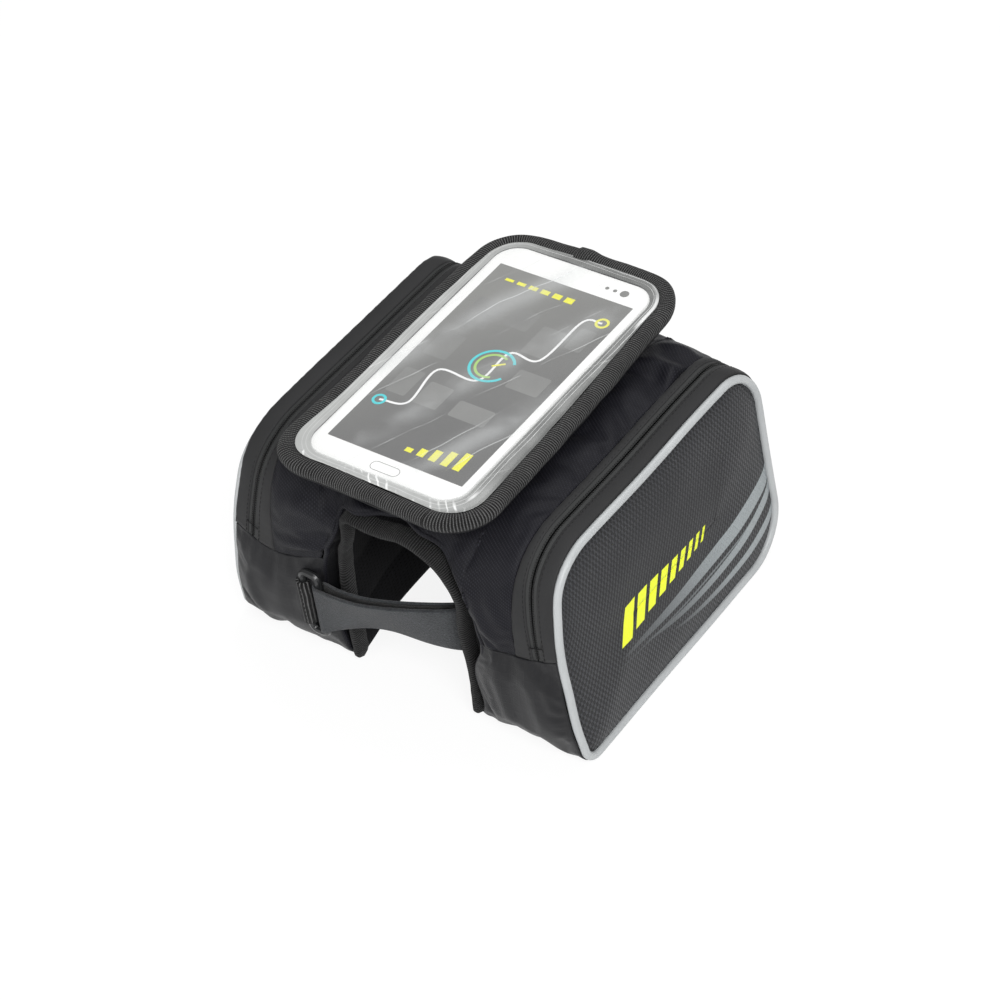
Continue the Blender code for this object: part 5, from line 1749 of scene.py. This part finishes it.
def add_pouch_floor():
    """The cloth under the card, which rises to the binding all round."""
    low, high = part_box("pouch_floor")[0].z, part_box("pouch_floor")[1].z
    levels = []
    for share in np.linspace(0, 1, 14):
        inset = 1.2 * mm + 16.5 * mm * share
        height = high - (high - low) * smooth(0.25, 1.0, share)
        levels.append((inset, height))
    mesh = filled_grid_mesh("pouch_floor_cloth", ring_grid(levels, 240), (0, 0, 1.0))
    points = get_points(mesh)
    middle_share = smooth(0, 8 * mm, high - points[:, 2])
    points[:, 2] += 0.25 * mm * waves(points, 19 * mm, 41) * (1 - middle_share)
    points = pouch_bulge(points)
    points[:, 2] -= pouch_lean(points) * (1 - middle_share)
    set_points(mesh, points)
    piece = add_piece("pouch_floor_cloth", mesh, pouch_fabric, "pouch_cloth", ["pouch_floor"],
                      thickness=cloth_thickness)
    declare_sheet(piece)


def add_window():
    """The clear film, drawn tight over the card and slack in the margin beside it."""
    margin = pouch_binding_width - 0.6 * mm
    half, rear, front = pouch_half_width - margin, pouch_rear + margin, pouch_front - margin
    rim = ring_grid([(margin, 0.0)], 360)[0]
    core = rim.copy()
    core[:, 0] = 0
    core[:, 1] = np.clip(rim[:, 1], rear + half, front - half)
    whole = rim + (core - rim) * (np.linspace(0, 1, 44) ** 1.4)[:, None, None]
    distance = np.linalg.norm(whole - rim, axis=2)
    crumple = waves(whole * np.array((1, 0.6, 1)), 9 * mm, 51) * 0.11 * mm * smooth(9 * mm, 2 * mm, distance)
    slack = waves(whole, 34 * mm, 53) * 0.16 * mm
    dip_depth = 0.10 * mm + 0.45 * mm * smooth(0, 30 * mm, whole[..., 0])
    margin_dip = -dip_depth * np.exp(-((distance - 1.5 * mm) / (1.0 * mm)) ** 2)
    base = window_bottom + film_rise + film_thickness
    whole[..., 2] = base + crumple + np.maximum(slack, -0.15 * mm) + margin_dip
    whole[..., 2] += pouch_lift(whole) * smooth(7 * mm, 0, distance)
    whole += (pouch_bulge(whole) - whole) * smooth(6 * mm, 0, distance)[..., None]
    cloth = np.concatenate((whole[..., :2], whole[:, :1, :2]), axis=1)
    whole[..., 2] -= pouch_lean(whole)
    mesh = weld(grid_mesh("window_film", whole, cloth, wrap=True, inside=(0, 0, 0)))
    piece = add_piece("window_film", mesh, film, "clear_film", ["pouch_window"], thickness=film_thickness)
    declare_sheet(piece)


def rounded_plate(name, centre, half, radius, bottom, thickness, material, slot, replaces=(),
                  edge=0.15 * mm):
    """A flat plate with rounded corners and softened edges. half is half its width and half its length."""
    half_x, half_y = half
    corners = [(half_x, -half_y), (half_x, half_y), (-half_x, half_y), (-half_x, -half_y)]
    path = rounded(corners, [radius] * 4, 10)
    rings = []
    for inset, height in ((edge, 0), (0, edge), (0, thickness - edge), (edge, thickness)):
        shrunk = np.array(centre) + path * np.array((1 - inset / half_x, 1 - inset / half_y))
        rings.append([(x, y, bottom + height) for x, y in shrunk])
    verts, faces = [], []
    loft(verts, faces, rings)
    mesh = listed_mesh(name, verts, faces)
    layer = mesh.uv_layers.new(name="cloth")
    for loop in mesh.loops:
        layer.data[loop.index].uv = mesh.vertices[loop.vertex_index].co.xy
    if slot == "card_print":
        leaned(mesh, aside=card_aside)
    elif slot == "foam":
        leaned(mesh, foot=bottom)
    return add_piece(name, mesh, material, slot, replaces)


def ribbon(name, route, width, material, level, closed=False):
    """A flat printed line on the card, as a thin strip along a route in X and Y."""
    route = np.array(route, float)
    side_way = headings(route, closed)[:, ::-1] * np.array((-1, 1)) * width / 2
    count = len(route)
    verts, faces = [], []
    for height in (level, level + 0.04 * mm):
        for sign in (-1, 1):
            verts += [(x, y, height) for x, y in route + side_way * sign]
    spans = count if closed else count - 1
    for i in range(spans):
        j = (i + 1) % count
        faces.append((i, count + i, count + j, j))
        faces.append((2 * count + i, 2 * count + j, 3 * count + j, 3 * count + i))
        faces.append((i, j, 2 * count + j, 2 * count + i))
        faces.append((count + i, 3 * count + i, 3 * count + j, count + j))
    if not closed:
        for i in (0, count - 1):
            faces.append((i, 2 * count + i, 3 * count + i, count + i))
    mesh = listed_mesh(name, verts, faces)
    faced_outwards(mesh)
    leaned(mesh, aside=card_aside)
    add_piece(name, mesh, material, "card_print")


def circle(centre, radius, start=0, end=360):
    """Points of a circle or of a part of one, from its centre and radius in millimetres."""
    angles = np.radians(np.linspace(start, end, 40, endpoint=(end - start) < 360))
    return (np.array(centre) + np.stack((np.cos(angles), np.sin(angles)), axis=1) * radius) * mm


def add_card():
    """The card in the window: a pictured phone with a plain map screen."""
    low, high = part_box("display_card")
    centre = ((low.x + high.x) / 2 - 0.4 * mm, (low.y + high.y) / 2)
    half = ((high.x - low.x) / 2 - 0.5 * mm, (high.y - low.y) / 2)
    top = high.z - 0.1 * mm
    rounded_plate("card_body", centre, half, 11 * mm, low.z, top - low.z, card_white, "card_print",
                  ["display_card"])
    rounded_plate("card_screen_area", (0, 0), screen_half, 0.5 * mm, top, 0.03 * mm, screen_grey,
                  "card_print", edge=0.01 * mm)
    layer = 0.03 * mm
    level = top + layer

    # Street blocks of the map, pale and faint: centre and half size
    for number, (x, y, half_x, half_y) in enumerate((
        (-22, 30, 7, 9), (-4, 34, 6, 6), (13, 26, 6, 9), (26, 34, 4, 7), (-24, 6, 6, 8), (22, 2, 8, 6),
        (-9, -22, 6, 7), (12, -24, 9, 5), (-25, -20, 5, 8),
    )):
        rounded_plate(f"map_block_{number + 1}", (x * mm, y * mm), (half_x * mm, half_y * mm), 1.2 * mm,
                      level, 0.02 * mm, print_pale, "card_print", edge=0.005 * mm)

    # The route on the map with a mark at each end, and a gauge
    level += layer
    corners = np.array(((-28, -34), (-16, -30), (-17, -8), (2, -6), (4, 14), (18, 16), (20, 44), (28, 47)))
    ribbon("map_route", smooth_route(corners * mm, 10), 1.1 * mm, print_white, level)
    level += 0.05 * mm
    for number, (centre, material) in enumerate((((-28, -34), print_cyan), ((28, 47), print_yellow))):
        ribbon(f"route_mark_{number + 1}", circle(centre, 2.6), 1.2 * mm, material, level, closed=True)
    ribbon("gauge_ring", circle((2, 4), 9.5, 30, 330), 1.3 * mm, print_cyan, level)
    ribbon("gauge_inner_ring", circle((2, 4), 7.0, 60, 300), 1.2 * mm, print_green, level)
    needle = np.linspace((2, 4), (6.5, 7.6), 4) * mm
    ribbon("gauge_needle", needle, 1.0 * mm, print_yellow, level)

    # Rows of bars above and below the map
    for number in range(6):
        x = -26 + number * 6.2
        bar = np.linspace((x, 53), (x + 4.2, 53), 3) * mm
        ribbon(f"top_bar_{number + 1}", bar, (1.6 + 0.35 * number) * mm, print_yellow, level)
    for number in range(5):
        x = 2 + number * 6.0
        bar = np.linspace((x, -54.5), (x, -52 + 2.0 * number), 3) * mm
        ribbon(f"bottom_bar_{number + 1}", bar, 3.4 * mm, print_yellow, level)

    # The pictured phone's sensors and button
    level = top + 0.02 * mm
    for number, (x, radius) in enumerate(((16.8, 0.9), (20.8, 0.9), (25.6, 2.0))):
        rounded_plate(f"card_sensor_{number + 1}", (x * mm, 67.2 * mm), (radius * mm, radius * mm),
                      radius * mm * 0.95, level, 0.04 * mm, screen_grey, "card_print", edge=0.01 * mm)
    button = capsule(7.0 * mm, 2.4 * mm) + np.array((0.0, -66.8 * mm))
    ribbon("card_button", button, 0.25 * mm, print_pale, level, closed=True)


def capsule(half_length, radius):
    """A closed outline: two straight sides and two round ends."""
    points = []
    for sign in (1, -1):
        for angle in np.linspace(-math.pi / 2, math.pi / 2, 14):
            x = half_length - radius + math.cos(angle) * radius
            points.append((sign * x, sign * math.sin(angle) * radius))
    return np.array(points)


def add_pouch():
    """The phone pouch with its card, and the foam and the patches under it."""
    add_pouch_binding()
    add_pouch_floor()
    add_window()
    add_card()
    for node, material, slot, softness in (
        ("display_blank", foam, "foam", 0.8), ("pouch_pad", foam, "foam", 1.0),
        ("saddle_loop_patch", patch_pile, "loop_fabric", 0.3),
        ("pouch_hook_patch", patch_pile, "hook_fabric", 0.3),
    ):
        low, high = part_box(node)
        centre = ((low.x + high.x) / 2, (low.y + high.y) / 2)
        half = ((high.x - low.x) / 2, (high.y - low.y) / 2)
        piece = rounded_plate(f"{node}_soft", centre, half, min(half) * 0.24, low.z, high.z - low.z,
                              material, slot, [node], edge=softness * mm * 0.45)


# Rigid pieces keep their solids and get their finish

def finish_rigid_nodes():
    """Gives the ring, the sliders and their pullers their materials."""
    finishes = {"strap_ring": ring_plastic}
    for label in ("right", "left"):
        finishes[f"{label}_zip_slider"] = slider_paint
        finishes[f"{label}_zip_puller"] = slider_paint
    for node, material in finishes.items():
        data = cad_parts[node].data
        data.materials.clear()
        data.materials.append(material)


# Room, lights and camera

camera_azimuth = 0.728417
camera_elevation = 0.763028
camera_roll = -0.153442
camera_distance = 1.295979
camera_target = Vector((0.005055, -0.008386, 0.054848))
focal_pixels = 3060.663
picture_pixels = 1000
sensor = 36.0
white_strength = 1.04


def add_camera():
    """The photograph's camera."""
    data = bpy.data.cameras.new("camera")
    data.sensor_width = sensor
    data.lens = focal_pixels * sensor / picture_pixels
    data.clip_start = 0.05
    data.clip_end = 20
    camera = placed("camera", data)
    az, el, roll = camera_azimuth, camera_elevation, camera_roll
    back = Vector((math.sin(az) * math.cos(el), -math.cos(az) * math.cos(el), math.sin(el)))
    right = Vector((math.cos(az), math.sin(az), 0))
    up = back.cross(right)
    turned_right = right * math.cos(roll) + up * math.sin(roll)
    turned_up = up * math.cos(roll) - right * math.sin(roll)
    rotation = Matrix((turned_right, turned_up, back)).transposed().to_4x4()
    camera.matrix_world = Matrix.Translation(camera_target + back * camera_distance) @ rotation
    bpy.context.scene.camera = camera


def add_lamp(name, place, size, power):
    """A round lamp aimed at the bag."""
    data = bpy.data.lights.new(name, "AREA")
    data.shape = "DISK"
    data.size = size
    data.energy = power
    lamp = placed(name, data)
    lamp.location = place
    way = Vector(place) - Vector((0, 0, 0.05))
    lamp.rotation_euler = way.to_track_quat("Z", "Y").to_euler()


def fed(tree, kind, *sources):
    """A new node whose first inputs come from the given outputs."""
    node = tree.nodes.new(kind)
    for socket, source in zip(node.inputs, sources):
        tree.links.new(source, socket)
    return node


def add_floor():
    """The white floor, which looks evenly lit to the camera and in reflections but still takes shadows."""
    half = 3.0
    corners = [(-half, -half, 0), (half, -half, 0), (half, half, 0), (-half, half, 0)]
    mesh = listed_mesh("floor", corners, [(0, 1, 2, 3)])
    floor = placed("floor", mesh)
    material = bpy.data.materials.new("floor_white")
    material.use_nodes = True
    tree = material.node_tree
    shader = tree.nodes["Principled BSDF"]
    shader.inputs["Base Color"].default_value = (0.86, 0.86, 0.86, 1)
    shader.inputs["Roughness"].default_value = 0.9
    paths = tree.nodes.new("ShaderNodeLightPath")
    seen = fed(tree, "ShaderNodeMath", paths.outputs["Is Camera Ray"], paths.outputs["Is Glossy Ray"])
    seen.operation = "MAXIMUM"
    share = fed(tree, "ShaderNodeMath", seen.outputs[0])
    share.operation = "MULTIPLY"
    share.inputs[1].default_value = 0.84
    glow = tree.nodes.new("ShaderNodeEmission")
    glow.inputs["Strength"].default_value = white_strength
    mix = fed(tree, "ShaderNodeMixShader", share.outputs[0], shader.outputs[0], glow.outputs[0])
    tree.links.new(mix.outputs[0], tree.nodes["Material Output"].inputs["Surface"])
    mesh.materials.append(material)


def add_world():
    """Soft light from all sides, and plain white where the camera sees past the floor."""
    world = bpy.data.worlds.new("studio")
    bpy.context.scene.world = world
    world.use_nodes = True
    tree = world.node_tree
    white = tree.nodes.new("ShaderNodeBackground")
    for background, strength in ((tree.nodes["Background"], 0.36), (white, white_strength)):
        background.inputs["Color"].default_value = (1, 1, 1, 1)
        background.inputs["Strength"].default_value = strength
    paths = tree.nodes.new("ShaderNodeLightPath")
    mix = fed(tree, "ShaderNodeMixShader", paths.outputs["Is Camera Ray"],
              tree.nodes["Background"].outputs[0], white.outputs[0])
    tree.links.new(mix.outputs[0], tree.nodes["World Output"].inputs["Surface"])


def add_room():
    """The white room and its lamps."""
    add_floor()
    add_world()

    add_lamp("key_light", (0.95, -0.75, 1.25), 0.9, 22.0)
    add_lamp("top_light", (0.1, 0.55, 1.3), 0.8, 8.0)
    add_lamp("rear_light", (-0.35, -1.2, 0.55), 0.6, 4.0)


add_camera()
for bag_side, bag_label in ((1, "right"), (-1, "left")):
    add_side_bag(bag_side, bag_label)
add_saddle()
add_tunnel()
add_inner_walls()
for mouth_end, mouth_name in ((-1, "rear"), (1, "front")):
    add_mouth(mouth_end, mouth_name)
add_strap()
add_tab()
add_pouch()
finish_rigid_nodes()
add_room()

bpy.context.scene.view_settings.view_transform = "Standard"
